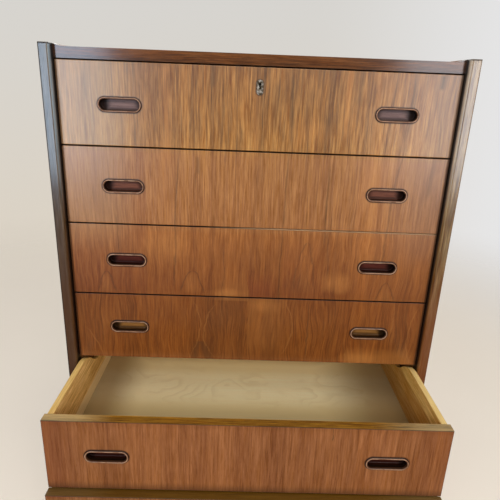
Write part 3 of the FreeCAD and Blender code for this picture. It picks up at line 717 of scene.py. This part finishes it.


# Teak veneer of the drawer fronts: one sheet cut across all six, darker and redder downwards, the
# darkening partly painted shade
frontVeneer = {
    "leafStart": -0.222,
    "leafWidth": 0.214,
    "leafChange": 0.02,
    "ringWidth": 0.031,
    "leafLines": (0.85, 0.6, 0.03, 0.15),  # two heights, and the amount at each
    "bandScale": 54.0,
    "wander": 0.005,
    "contrast": 1.0,
    "pores": 0.6,
    "vein": "#3a2815",
    "glow": "#b97a3a",
    "red": "#7a3a20",
    "greySheen": "#8a6d55",
    "coolShade": "#63564f",
    "pale": "#cfae7c",
    "shadeAndDirtColour": "#1f0f07",
    "roughness": 0.42,
    "bump": 0.1,
    "specular": 0.2,
    "coat": 1.0,
    "coatRoughness": 0.26,
    # sways bend the figure sideways: stretch and roughness of the noise, amount or its fade by height
    "sways": [
        ((14.0, 0.0, 8.0), 0.5, (0.95, 0.65, 0.006, 0.03)),
        ((500.0, 0.0, 60.0), 0.6, 0.005),
        ((45.0, 0.0, 32.0), 0.6, (0.80, 0.76, 0.001, 0.010)),
    ],
    "leafShade": (0.12, 0.94),  # how far a leaf's own tone lightens it, and the least
    "figureShade": (0.7, 0.6),
    "patchNoise": ((30.0, 1.0, 16.0), 3.0, 0.6),
    "patchUneven": 1.1,
    "smudgeRough": 0.08,
    "worn": 0.9,  # how much varnish the bare sides have lost
    "rampTop": 1.2,
    # tones: height up the chest, dark and light grain, strength of the dark veins,
    # swirl of the grain, strength of the fibres
    "tones": [
        (0.20, "#6b3b1a", "#945c31", 0.08, 0.003, 0.95),
        (0.47, "#6b3b1a", "#945c31", 0.08, 0.003, 0.95),
        (0.50, "#5a2e08", "#834713", 0.10, 0.030, 1.1),
        (0.63, "#5f310a", "#864a14", 0.10, 0.035, 1.1),
        (0.65, "#5f2f0c", "#844814", 0.15, 0.030, 1.1),
        (0.78, "#744118", "#9e6127", 0.20, 0.022, 1.1),
        (0.80, "#784722", "#a26a35", 0.22, 0.010, 1.15),
        (0.94, "#7b4b26", "#a46f37", 0.25, 0.008, 1.15),
        (0.955, "#67411a", "#ae7734", 0.54, 0.008, 1.9),
        (1.10, "#573413", "#9c6629", 0.58, 0.008, 1.9),
    ],
    "lines": [  # x, z, lean, bend, half width, half height, darkness (below 0: lighter)
        (-0.088, 1.09, 0.0, 0.0, 0.005, 0.03, 0.5),
        (-0.128, 1.035, 0.02, 0.0, 0.0016, 0.07, 0.45),
        (-0.068, 1.0, 0.02, 0.0, 0.003, 0.05, 0.35),
        (0.064, 1.03, -0.03, 0.0, 0.0032, 0.085, 0.6),
        (0.034, 1.035, 0.05, 0.0, 0.009, 0.06, 0.25),
        (0.132, 0.985, 0.03, 0.0, 0.0035, 0.05, 0.4),
        (0.19, 1.08, 0.04, 0.0, 0.0045, 0.045, 0.35),
        (0.29, 1.05, -0.02, 0.0, 0.0028, 0.07, 0.4),
        (0.342, 1.09, 0.05, 0.0, 0.004, 0.016, 0.75),
        (0.352, 0.99, -0.08, 0.0, 0.0018, 0.04, 0.4),
        (-0.175, 1.02, 0.0, 0.0, 0.0065, 0.12, -0.32),
        (-0.004, 1.01, 0.0, 0.0, 0.005, 0.09, -0.28),
        (0.168, 1.06, 0.03, 0.0, 0.0055, 0.09, -0.26),
        (-0.33, 1.02, 0.01, 0.0, 0.006, 0.09, 0.3),
        (-0.182, 0.88, 0.0, 0.0, 0.012, 0.11, -0.26),
        (-0.161, 0.8, 0.05, 0.0, 0.0014, 0.18, 0.5),
        (-0.115, 0.92, -0.05, 0.0, 0.003, 0.022, 0.35),
        (0.06, 0.8, 0.01, 0.0, 0.0016, 0.22, 0.4),
        (0.146, 0.84, -0.02, 0.0, 0.0024, 0.11, 0.35),
        (0.273, 0.84, 0.07, 0.4, 0.0018, 0.15, 0.45),
        (0.348, 0.91, 0.02, 0.0, 0.004, 0.05, 0.3),
        (-0.278, 0.775, -0.06, 0.0, 0.0016, 0.05, 0.4),
        (-0.062, 0.68, 0.0, 0.0, 0.0012, 0.09, 0.35),
        (0.156, 0.74, -0.08, 0.0, 0.002, 0.07, 0.35),
        (-0.098, 0.556, 0.0, 5.0, 0.0012, 0.075, -0.22),
        (-0.108, 0.56, 0.04, -4.5, 0.0012, 0.075, -0.22),
        (0.094, 0.568, 0.0, -5.0, 0.0014, 0.075, -0.22),
        (0.124, 0.56, -0.03, 0.0, 0.0014, 0.085, 0.45),
        (0.348, 0.56, 0.04, 4.0, 0.0014, 0.08, -0.2),
        (-0.342, 0.525, -0.55, 0.0, 0.0016, 0.035, -0.18),
        (0.313, 0.6, 0.0, 0.0, 0.0014, 0.045, -0.18),
        (0.155, 0.468, 0.02, 0.0, 0.001, 0.016, 0.6),
    ],
    "arches": [  # x and z of the peak, half width, drop, line width, darkness, glow inside
        (-0.129, 0.697, 0.024, 0.05, 0.0018, 0.45, 0.16),
        (-0.309, 0.691, 0.02, 0.048, 0.0018, 0.4, 0.14),
        (0.289, 0.684, 0.022, 0.045, 0.0018, 0.4, 0.12),
        (0.113, 0.768, 0.022, 0.11, 0.0016, 0.35, 0.06),
        (0.112, 0.74, 0.01, 0.08, 0.0013, 0.25, 0.05),
        (-0.105, 0.53, 0.016, 0.05, 0.008, 0.4, 0.0),
    ],
    "shades": [  # x from and to, z from and to, softness left, right, below and above, colour, amount
        (-0.4, -0.222, 0.64, 0.951, 0.002, 0.0015, 0.002, 0.002, "red", 0.1),
        (0.206, 0.4, 0.64, 0.951, 0.0015, 0.02, 0.002, 0.002, "glow", 0.06),
        (-0.15, -0.008, 0.484, 0.64, 0.09, 0.0015, 0.002, 0.002, "vein", 0.16),
        (-0.008, 0.11, 0.484, 0.64, 0.0015, 0.08, 0.06, 0.002, "glow", 0.12),
        (-0.105, -0.008, 0.63, 0.72, 0.06, 0.0015, 0.002, 0.07, "glow", 0.14),
        (-0.008, 0.06, 0.64, 0.715, 0.0015, 0.03, 0.002, 0.06, "red", 0.26),
        (0.214, 0.4, 0.484, 0.532, 0.0015, 0.06, 0.001, 0.03, "glow", 0.24),
        (0.064, 0.18, 0.64, 0.796, 0.0015, 0.08, 0.002, 0.06, "red", 0.12),
        # painted sheen: the left ends of the upper fronts paler
        (-0.4, -0.2, 0.951, 1.11, 0.002, 0.1, 0.002, 0.002, "pale", 0.22),
        (-0.4, -0.222, 0.72, 0.951, 0.002, 0.08, 0.08, 0.002, "pale", 0.13),
        # painted reflection: a grey sheen at the top front's right end
        (0.26, 0.4, 0.951, 1.11, 0.09, 0.002, 0.002, 0.002, "greySheen", 0.3),
        # painted shade at the right ends, cooler higher up and darker lower down
        (0.23, 0.4, 0.7, 0.951, 0.11, 0.002, 0.08, 0.002, "coolShade", 0.24),
        (0.23, 0.4, 0.17, 0.78, 0.11, 0.002, 0.002, 0.08, "shadeAndDirtColour", 0.09),
        (-0.4, -0.3, 0.32, 0.484, 0.002, 0.08, 0.002, 0.002, "red", 0.3),
        (0.3, 0.4, 0.32, 0.484, 0.08, 0.002, 0.002, 0.002, "red", 0.12),
        # darker at the left end of the fifth front
        (-0.4, -0.28, 0.325, 0.484, 0.002, 0.08, 0.002, 0.002, "shadeAndDirtColour", 0.08),
        # painted shadow along the fifth front's lower edge and the sixth front's top
        (-0.4, 0.4, 0.325, 0.35, 0.002, 0.002, 0.002, 0.022, "shadeAndDirtColour", 0.5),
        # darker over the sixth front
        (-0.4, 0.4, 0.17, 0.33, 0.002, 0.002, 0.002, 0.002, "shadeAndDirtColour", 0.12),
    ],
    "patches": [  # x, z, half width, half height, glow (below 0: darker)
        (-0.055, 0.648, 0.055, 0.016, 0.3),
        (0.185, 0.68, 0.05, 0.032, 0.32),
        (-0.178, 0.755, 0.06, 0.05, 0.28),
        (0.095, 0.985, 0.055, 0.045, 0.24),
        (0.03, 0.622, 0.05, 0.024, 0.22),
        (0.1, 0.67, 0.05, 0.035, -0.14),
        (-0.055, 0.6, 0.05, 0.06, -0.14),
        (0.25, 0.498, 0.065, 0.018, 0.22),
        (0.235, 0.88, 0.035, 0.09, 0.2),
        (-0.31, 0.86, 0.09, 0.09, -0.06),
    ],
}

# Dirt and painted shade on the fronts: distances from the outlines of pulls, key plate and fronts, and
# amounts
frontShadeAndDirt = {
    "pullReach": 0.0026,
    "plateReach": 0.0035,
    "plateHalf": 0.007,
    "plateRadius": 0.0065,
    "amount": 0.62,
    "edgeWidth": 0.0012,
    "edgeAmount": 0.55,
}

# Core of the fronts, bare on top, behind and at the ends, with painted shade on the tops of the closed
# fronts, in the gaps beside them and on the rounded side edges. Fades: start, end, amount at both
frontCore = {
    "dark": "#4c2e06", "light": "#a8761f", "vein": "#3a2815", "worn": "#b8a070", "shade": "#62420c",
    "bandScale": 80.0, "wander": 0.01, "contrast": 1.3, "veins": 0.5, "pores": 0.6,
    "wornShade": (0.8, 0.55),
    "leftWear": (-0.24, -0.33, 0.0, 0.7),  # across the front
    "rightWear": (0.22, 0.35, 0.0, 0.7),
    "arris": (0.0030, 0.0008, 0.0, 0.6),  # behind the open front's face
    "sixthTop": (0.335, 0.325, 0.0, 0.72),  # height; painted shadow of the fifth front on the sixth front's top
    "gapLight": "#f2c89c",  # pale light at the right in the gap above the third front
    "gapHeight": (0.004, 0.003),
    "gapAcross": (-0.12, 0.06),
    "gapDepth": (0.010, 0.007),
    "gapFront": (-0.004, -0.002),
    "upward": (0.6, 0.95),  # how far the surface turns
    "tilted": (0.1, 0.3),
    "tiltedEnd": (0.95, 0.75),
    "tiltAmount": 0.5,
    "behind": (0.6, 0.95),
    "chamfer": (0.08, 0.35, 0.0, 0.8),
    "endFace": (0.9, 0.98),
    "endFront": (0.9, 0.5),
    "besideStart": 0.0055,  # dark line down both ends above the given height: painted shade beside the closed fronts
    "besideEnd": 0.0030,
    "besideHeight": (0.484, 0.486, 0.0, 0.7),
}


def toneRamps(z, look):
    up = over(z, look["rampTop"])
    heights, *tones = zip(*look["tones"])
    places = [height / look["rampTop"] for height in heights]
    made = []
    for values in tones:
        if isinstance(values[0], str):
            made.append(ramp(up, places, values))
        else:  # a ramp's colours stop at 1, so strengths are halved in it and doubled after it
            halved = [(value / 2,) * 3 + (1.0,) for value in values]
            made.append(times(ramp(up, places, halved), 2.0))
    return made


def figurePoint(x, z, point, look):
    sway = 0.0
    for scale, roughness, amount in look["sways"]:
        bend = minus(noise(point, scale, 2.0, roughness), 0.5)
        strength = fade(z, *amount) if isinstance(amount, tuple) else amount
        sway = timesPlus(bend, strength, sway)
    return join(plus(x, sway), 0.0, z)


def drawFigure(point, colour, shown, look):
    dark, glow = look["vein"], look["glow"]
    across, depth, up = split(point)
    for left, right, low, high, softLeft, softRight, softLow, softHigh, kind, amount in look["shades"]:
        fromLeft = fade(across, left, left + softLeft)
        inside = times(fromLeft, fade(across, right, right - softRight))
        fromLow = fade(up, low, low + softLow)
        level = times(fromLow, fade(up, high, high - softHigh))
        colour = blend(times(inside, level, amount), colour, look[kind])
    for x, z, lean, bend, wide, tall, amount in look["lines"]:
        line = useGroup(figureLine, {
            "Vector": point, "Middle": (x, 0.0, z), "Lean": lean, "Bend": bend, "Wide": wide, "Tall": tall,
        })["Line"]
        line = calc("MULTIPLY", line, times(shown, abs(amount)), clamp=True)
        colour = blend(line, colour, dark if amount > 0 else glow)
    for x, z, half, drop, wide, amount, inside in look["arches"]:
        arch = useGroup(figureArch, {
            "Vector": point, "Peak": (x, 0.0, z), "Half Width": half, "Drop": drop, "Line Width": wide,
        })
        within = times(arch["Inside"], times(shown, inside))
        colour = blend(within, colour, glow)
        colour = blend(times(arch["Line"], times(shown, amount)), colour, dark)
    uneven = noise(point, *look["patchNoise"])
    for x, z, wide, tall, amount in look["patches"]:
        away = combine("SUBTRACT", point, (x, 0.0, z))
        far = lengthOf(combine("DIVIDE", away, (wide, 1.0, tall)))
        far = timesPlus(uneven, look["patchUneven"], minus(far, look["patchUneven"] / 2))
        patch = times(fade(far, 1.0, 0.1), times(shown, abs(amount)))
        colour = blend(patch, colour, glow if amount > 0 else dark)
    return colour


def frontPitch():
    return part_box("drawer_front_1")[0].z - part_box("drawer_front_2")[0].z


def shadeAndSoilFront(x, z, colour, shadeAndDirt, shade):
    low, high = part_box("drawer_front_1")
    base = minus(z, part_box("drawer_front_6")[0].z)
    below = times(calc("FLOOR", over(base, frontPitch())), frontPitch())
    inFront = minus(base, below)
    pullLow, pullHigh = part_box("pulls_1")
    half, radius = pulls["length"] / 2, (pullHigh.z - pullLow.z) / 2
    along = minus(absolute(x), pullHigh.x - half)
    across = minus(inFront, (pullLow.z + pullHigh.z) / 2 - low.z)
    rims = ovalDistance(across, along, half - radius, radius)
    plateLow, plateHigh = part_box("escutcheon")
    upPlate = minus(z, (plateLow.z + plateHigh.z) / 2)
    plate = ovalDistance(x, upPlate, shadeAndDirt["plateHalf"], shadeAndDirt["plateRadius"])
    # dark halo round pulls and key plate: dirt and painted shadow
    around = most(fade(rims, shadeAndDirt["pullReach"], 0.0), fade(plate, shadeAndDirt["plateReach"], 0.0))
    colour = blend(times(around, shadeAndDirt["amount"]), colour, shade)
    # dark outline of each front: dirt and painted shade in the gaps
    edges = useGroup(boardEdges, {  # a flat board, so that only its outline counts
        "Vector": join(x, 0.0, inFront),
        "Low": (low.x, 0.0, 0.0),
        "High": (high.x, 1.0, high.z - low.z),
        "Width": shadeAndDirt["edgeWidth"],
    })
    return blend(times(edges["Edge"], shadeAndDirt["edgeAmount"]), colour, shade)


def topOfFront(x, y, z, grain, core, shade):
    low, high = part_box("drawer_front_1")
    endWear = most(fade(x, *core["leftWear"]), fade(x, *core["rightWear"]))
    arris = fade(minus(y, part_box("drawer_front_5")[0].y), *core["arris"])
    fromGap = absolute(minus(z, high.z - 2 * frontPitch()))
    light = times(fade(fromGap, *core["gapHeight"]), fade(x, *core["gapAcross"]))
    gap = blend(light, shade, core["gapLight"])
    inward = minus(y, low.y)
    # the tops of the closed fronts near their faces take painted shade, the gap above the third front
    # painted light
    closed = times(fade(inward, *core["gapDepth"]), fade(inward, *core["gapFront"]))
    return cover(
        grain["Color"],
        (endWear, varied(core["worn"], grain["Tone"], *core["wornShade"])),
        (arris, shade),
        (fade(z, *core["sixthTop"]), core["shade"]),
        (closed, gap))


# The sides of the board that the veneer leaves bare, where the varnish is worn off, and the painted shade
# on their rounded side edges and in the gaps of the closed fronts
def showCore(tree, point, colour, core, shade):
    x, y, z = split(point)
    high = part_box("drawer_front_1")[1]
    grain = grainOf(alongGrain(point, "x"), core)
    up = facing(tree, "z")
    upward = fade(up, *core["upward"])
    tilted = times(fade(up, *core["tilted"]), fade(up, *core["tiltedEnd"]))
    aside = absolute(facing(tree, "x"))
    beside = fade(absolute(x), high.x - core["besideStart"], high.x - core["besideEnd"])
    beside = times(beside, fade(z, *core["besideHeight"]), fade(aside, *core["endFront"]))
    # the rounded side edges and the gaps beside the closed fronts take painted shade; the rounded top
    # edges are darker
    colour = cover(
        colour,
        (upward, topOfFront(x, y, z, grain, core, shade)),
        (times(tilted, core["tiltAmount"]), shade),
        (fade(facing(tree, "y"), *core["behind"]), grain["Color"]),
        (fade(aside, *core["chamfer"]), shade),
        (fade(aside, *core["endFace"]), grain["Color"]),
        (beside, shade))
    return colour, most(upward, tilted)


def makeFrontVeneer(name, look):
    material, tree, shader = newMaterial(name)
    point = objectPoint(tree)
    x, y, z = split(point)
    dark, light, veins, swirl, fibres = toneRamps(z, look)
    toned = {**look, "dark": dark, "light": light, "veins": veins, "swirl": swirl, "fibres": fibres}
    leaves = leavesOf(join(x, 0.0, z), toned)
    grain = grainOf(leaves["Vector"], toned)
    lines = times(leaves["Line"], fade(z, *look["leafLines"]))
    colour = blend(lines, grain["Color"], light)
    colour = scaleVector(colour, timesPlus(leaves["Leaf Tone"], *look["leafShade"]))
    shown = timesPlus(grain["Tone"], *look["figureShade"])
    colour = drawFigure(figurePoint(x, z, point, look), colour, shown, look)
    colour = shadeAndSoilFront(x, z, colour, frontShadeAndDirt, look["shadeAndDirtColour"])
    colour, bare = showCore(tree, point, colour, frontCore, look["shadeAndDirtColour"])
    marks = useGroup(handling, {"Vector": point})
    rough = woodRoughness(grain, marks, look["roughness"], look["smudgeRough"])
    finishSurface(shader, colour, rough, grain["Height"], look["bump"])
    polish(shader, look, times(bare, look["worn"]))
    return material


# Teak veneer of the case: leaves side by side, grain up the sides and across the top
caseVeneer = {
    "dark": "#6a3f22", "light": "#96602f", "vein": "#3c2012", "worn": "#a4713f",
    "leafStart": 0.04, "leafWidth": 0.17, "leafChange": 0.03, "swirl": 0.05, "ringWidth": 0.027,
    "leafShade": (0.14, 0.93),
    "bandScale": 32.0, "wander": 0.008, "contrast": 0.9, "veins": 0.4, "pores": 0.6,
    "ringAmount": 0.3, "lineAmount": 0.15, "edgeAmount": 0.5, "edgeWidth": 0.0015,
    "roughness": 0.38, "bump": 0.1,
}


def makeCaseVeneer(name, axis, node, look):
    material, tree, shader = newMaterial(name)
    point = objectPoint(tree)
    x, y, z = split(point)
    leaves = leavesOf(join(y, 0.0, x if axis == "x" else z), look)
    grain = grainOf(leaves["Vector"], look)
    colour = cover(
        grain["Color"],
        (times(leaves["Ring"], look["ringAmount"]), look["vein"]),
        (times(leaves["Line"], look["lineAmount"]), look["light"]))
    colour = scaleVector(colour, timesPlus(leaves["Leaf Tone"], *look["leafShade"]))
    worn = edgesOf(point, node, look["edgeWidth"])["Edge"]
    colour = blend(times(worn, look["edgeAmount"]), colour, look["worn"])
    marks = useGroup(handling, {"Vector": point})
    rough = woodRoughness(grain, marks, look["roughness"])
    finishSurface(shader, colour, rough, grain["Height"], look["bump"])
    return material


# Birch plywood of the drawer bottoms and stained plywood of the back: peeled veneer with soft curls
plywoods = {
    "birchPly": {
        "axis": "x", "dark": "#ffefc4", "light": "#fff8d2", "curl": "#c9ae78", "fleck": "#d6bc88",
        "grimeAndShade": "#7a5929", "curlAmount": 0.2, "roughness": 0.5,
        "inner": "#dfc78e",  # painted shade near the front and at the back, and at both ends painted shade in the grime colour
        "innerFades": [(0.25, 0.165, 0.0, 0.85), (0.30, 0.35, 0.0, 0.6)],
        "endShadeFades": [(0.16, 0.32, 0.0, 0.76), (-0.24, -0.335, 0.0, 0.74)],
    },
    "backPly": {
        "axis": "z", "dark": "#7d5a37", "light": "#a37d52", "curl": "#604226", "fleck": "#4d3420",
        "grimeAndShade": "#3f2a18", "curlAmount": 0.35, "roughness": 0.62,
    },
}
plainPly = {  # noises as in grainParts; each range is where a mark starts and ends
    "cloud": ((5.0, 5.0, 3.2), 3.0, 0.55),
    "cloudRange": (0.35, 0.65),
    "cloudAmount": 0.5,
    "rings": 13.0,  # the curls are thin rings drawn on the cloud
    "ringRise": (0.0, 0.5),
    "ringFall": (0.62, 0.5),
    "faintScale": 14.0,
    "faintRange": (0.4, 0.65),
    "fibres": ((260.0, 260.0, 9.0), 3.0, 0.6),
    "fibreRange": (0.15, 0.85),
    "flecks": ((700.0, 700.0, 120.0), 2.0, 0.5),
    "fleckRange": (0.64, 0.76, 0.0, 0.4),
    "smudgeScale": 5.0,
    "smudgeAmount": 0.04,
    "smudgeRough": 0.12,
    # painted shade along the board's rim: its width and amount
    "rimWidth": 0.009,
    "rimAmount": 0.45,
    "bump": 0.08,
}


def makePlywood(name, kind, node, seed):
    ply = {**plainPly, **plywoods[kind]}
    material, tree, shader = newMaterial(name)
    point = objectPoint(tree)
    shifted = shiftVector(point, (0.31 * seed, 0.47 * seed, 0.19 * seed))
    along = alongGrain(shifted, ply["axis"])
    cloud = noise(along, *ply["cloud"])
    ring = calc("FRACT", times(cloud, ply["rings"]))
    curl = times(fade(ring, *ply["ringRise"]), fade(ring, *ply["ringFall"]))
    faint = fade(noise(along, ply["faintScale"]), *ply["faintRange"])
    tone = noise(along, *ply["fibres"])
    colour = blend(fade(tone, *ply["fibreRange"]), ply["dark"], ply["light"])
    marks = useGroup(handling, {"Vector": point, "Smudge Scale": ply["smudgeScale"]})
    colour = cover(
        colour,
        (times(fade(cloud, *ply["cloudRange"]), ply["cloudAmount"]), ply["dark"]),
        (times(curl, faint, ply["curlAmount"]), ply["curl"]),
        (fade(noise(along, *ply["flecks"]), *ply["fleckRange"]), ply["fleck"]),
        (times(marks["Smudge"], ply["smudgeAmount"]), ply["grimeAndShade"]))
    # painted shade along the rim; on the drawer bottoms also near the front, at the back and at both ends
    dim = times(edgesOf(point, node, ply["rimWidth"])["Rim"], ply["rimAmount"])
    if "inner" in ply:
        x, y, z = split(point)
        inward = minus(y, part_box(node)[0].y)
        near, far = [fade(inward, *values) for values in ply["innerFades"]]
        colour = blend(most(near, far), colour, ply["inner"])
        right, left = [fade(x, *values) for values in ply["endShadeFades"]]
        dim = most(dim, most(right, left))
    colour = blend(dim, colour, ply["grimeAndShade"])
    rough = timesPlus(marks["Smudge"], ply["smudgeRough"], ply["roughness"])
    finishSurface(shader, colour, rough, tone, ply["bump"])
    return material


# Metals of the key plate, of the screws and the legs' steel, and of the lock
metals = {
    "agedSilver": {"clean": "#98928a", "tarnish": "#554a3a", "amount": 0.5, "patch": 160.0, "shine": 0.38},
    "zincSteel": {"clean": "#a8a79f", "tarnish": "#6b6455", "amount": 0.35, "patch": 90.0, "shine": 0.35},
    "dullBrass": {"clean": "#b0934f", "tarnish": "#5d4a26", "amount": 0.45, "patch": 110.0, "shine": 0.36},
}
metalBump = {"strength": 0.08, "distance": 0.0002}


def makeMetal(name, look):
    material, tree, shader = newMaterial(name)
    metal = useGroup(agedMetal, {
        "Vector": objectPoint(tree),
        "Clean": look["clean"],
        "Tarnish": look["tarnish"],
        "Amount": look["amount"],
        "Patch Scale": look["patch"],
        "Shine": look["shine"],
    })
    finishSurface(shader, metal["Color"], metal["Roughness"], metal["Height"], **metalBump)
    shader["Metallic"].default_value = 1.0
    return material


def dress(node, material):
    slots = nodes[node].data.materials
    slots.clear()
    slots.append(material)


def dressCase():
    for side, inward in (("left", 1.0), ("right", -1.0)):
        node = "lipping_" + side
        dress(node, makeWood("lippingTeak_" + side, side + "Lipping", node, 1 + inward, inward))
        node = "side_" + side
        dress(node, makeCaseVeneer("sideVeneer_" + side, "z", node, caseVeneer))
    for part in ("top", "bottom"):
        node = part + "_panel"
        dress(node, makeCaseVeneer(part + "Veneer", "x", node, caseVeneer))
    for seed, part in ((3, "top"), (4, "bottom")):
        node = part + "_rail"
        dress(node, makeWood("railTeak_" + part, "railTeak", node, seed))
    dress("back_panel", makePlywood("backPly", "backPly", "back_panel", 1))
    dress("runners", makeWood("runnerHardwood", "runnerHardwood", "runners", 5))
    for seed, corner in enumerate(("front_left", "front_right", "back_left", "back_right"), 6):
        node = "leg_" + corner
        dress(node, makeWood("legTeak_" + corner, "legTeak", node, seed))


def dressDrawers():
    veneer = makeFrontVeneer("frontVeneer", frontVeneer)
    for drawer in range(1, drawerCount + 1):
        dress("drawer_front_%d" % drawer, veneer)
        for side, seed in (("left", drawer + 10), ("right", drawer)):
            node = "drawer_side_%s_%d" % (side, drawer)
            dress(node, makeWood("drawerSide_%s_%d" % (side, drawer), side + "DrawerSide", node, seed))
        node = "drawer_back_%d" % drawer
        dress(node, makeWood("backHardwood_%d" % drawer, "backHardwood", node, drawer))
        node = "drawer_bottom_%d" % drawer
        dress(node, makePlywood("birchPly_%d" % drawer, "birchPly", node, drawer))
        node = "pulls_%d" % drawer
        dress(node, makePull("pullTeak_%d" % drawer, node, drawer, pulls))


def dressMetal():
    made = {name: makeMetal(name, look) for name, look in metals.items()}
    dress("escutcheon", made["agedSilver"])
    for node in ("lock_case", "lock_bolt", "strike_plate"):
        dress(node, made["dullBrass"])
    screws = ("runner_screws", "back_screws", "plate_screws", "lock_screws")
    for node in screws + ("leg_studs", "leg_plates"):
        dress(node, made["zincSteel"])


dressCase()
dressDrawers()
dressMetal()
print("materials made")


# Light: two soft windows and a broad high one before the chest, one lamp behind it and one overhead
lamps = {
    "windowRight": {
        "place": (1.78, -3.3, 1.21), "aim": (0.1, 0.0, 0.9),
        "size": (1.04, 1.78), "watts": 37.0, "colour": "#eaf1fa",
    },
    "windowLeft": {
        "place": (-1.68, -3.3, 1.13), "aim": (-0.1, 0.0, 0.9),
        "size": (1.0, 1.74), "watts": 48.0, "colour": "#cbe5ff",
    },
    "high": {
        "place": (0.3, -3.4, 2.3), "aim": (0.0, -0.1, 0.4),
        "size": (2.4, 0.8), "watts": 80.0, "colour": "#fff2e2",
    },
    "rear": {
        "place": (-0.4, 3.2, 1.9), "aim": (0.0, 0.3, 0.7),
        "size": (2.0, 1.4), "watts": 15.0, "colour": "#fffaf2",
    },
    "ceiling": {
        "place": (0.2, -0.6, 3.0), "aim": (0.2, -0.6, 0.0),
        "size": (2.4, 2.4), "watts": 24.0, "colour": "#fffaf2",
    },
}


def makeLamps(settings):
    for name, lamp in settings.items():
        light = bpy.data.lights.new(name, "AREA")
        light.shape = "RECTANGLE"
        light.size, light.size_y = lamp["size"]
        light.energy = lamp["watts"]
        light.color = tint(lamp["colour"])[:3]
        holder = bpy.data.objects.new(name, light)
        bpy.context.scene.collection.objects.link(holder)
        holder.location = lamp["place"]
        direction = Vector(lamp["aim"]) - Vector(lamp["place"])
        holder.rotation_euler = direction.to_track_quat("-Z", "Y").to_euler()
        holder.visible_camera = False


# Room: a pale wall behind the chest, a dim room in front of it, a plain soft fill and a pale floor
room = {
    "wallHigh": "#d6d4d0",
    "wallLow": "#dbd2c4",
    "wallRight": "#e7e7e8",
    "dim": "#2a2826",
    "upFade": (-0.35, 0.25),  # parts of the view's direction
    "rightFade": (0.1, 0.55),
    "backFade": (-0.1, 0.2),
    "fill": "#f4f2ee",
    "fillStrength": 0.31,
    "floor": "#e2dacf",
    "floorGlow": 0.27,
    "floorRadius": 3.4,
    "floorSolid": 1.1,
}


def makeWorld(settings):
    world = bpy.data.worlds.new("room")
    world.use_nodes = True
    tree = world.node_tree
    tree.nodes.clear()
    across, back, up = split(newNode(tree, "TexCoord").outputs["Generated"])
    wall = blend(fade(up, *settings["upFade"]), settings["wallLow"], settings["wallHigh"])
    wall = blend(fade(across, *settings["rightFade"]), wall, settings["wallRight"])
    ray = newNode(tree, "LightPath").outputs
    direct = most(ray["Is Camera Ray"], ray["Is Transmission Ray"])
    behind = most(direct, fade(back, *settings["backFade"]))
    wall = blend(behind, settings["dim"], wall)
    seen = addNode("Background", {"Color": wall, "Strength": 1.0})
    fill = newNode(tree, "Background")
    feedAll(fill.inputs, {"Color": settings["fill"], "Strength": settings["fillStrength"]})
    shown = most(direct, ray["Is Glossy Ray"])
    mix = addNode("MixShader", {0: shown, 1: fill.outputs[0], 2: seen.outputs[0]})
    addNode("OutputWorld", {"Surface": mix.outputs[0]})
    bpy.context.scene.world = world


def makeFloor(settings):
    material, tree, shader = newMaterial("floorPaper")
    point = objectPoint(tree)
    colour = varied(settings["floor"], noise(point, 3.0, 3.0), 0.04, 0.98)
    seen = newNode(tree, "LightPath").outputs["Is Camera Ray"]
    far = fade(lengthOf(point), settings["floorRadius"], settings["floorSolid"])
    below = newNode(tree, "NewGeometry").outputs["Backfacing"]
    feedAll(shader, {
        "Base Color": colour,
        "Emission Color": colour,
        "Emission Strength": times(seen, settings["floorGlow"]),
        "Alpha": times(far, minus(1.0, below)),
        "Roughness": 0.8,
        "Specular IOR Level": 0.2,
    })
    shape = bmesh.new()
    bmesh.ops.create_circle(shape, cap_ends=True, segments=96, radius=settings["floorRadius"])
    mesh = bpy.data.meshes.new("floor")
    shape.to_mesh(mesh)
    shape.free()
    mesh.materials.append(material)
    floor = bpy.data.objects.new("floor", mesh)
    floor.visible_glossy = False
    bpy.context.scene.collection.objects.link(floor)


makeCamera(cameraSettings)
makeLamps(lamps)
makeWorld(room)
makeFloor(room)
bpy.context.scene.view_settings.view_transform = "Standard"
print("camera, lamps and room made")
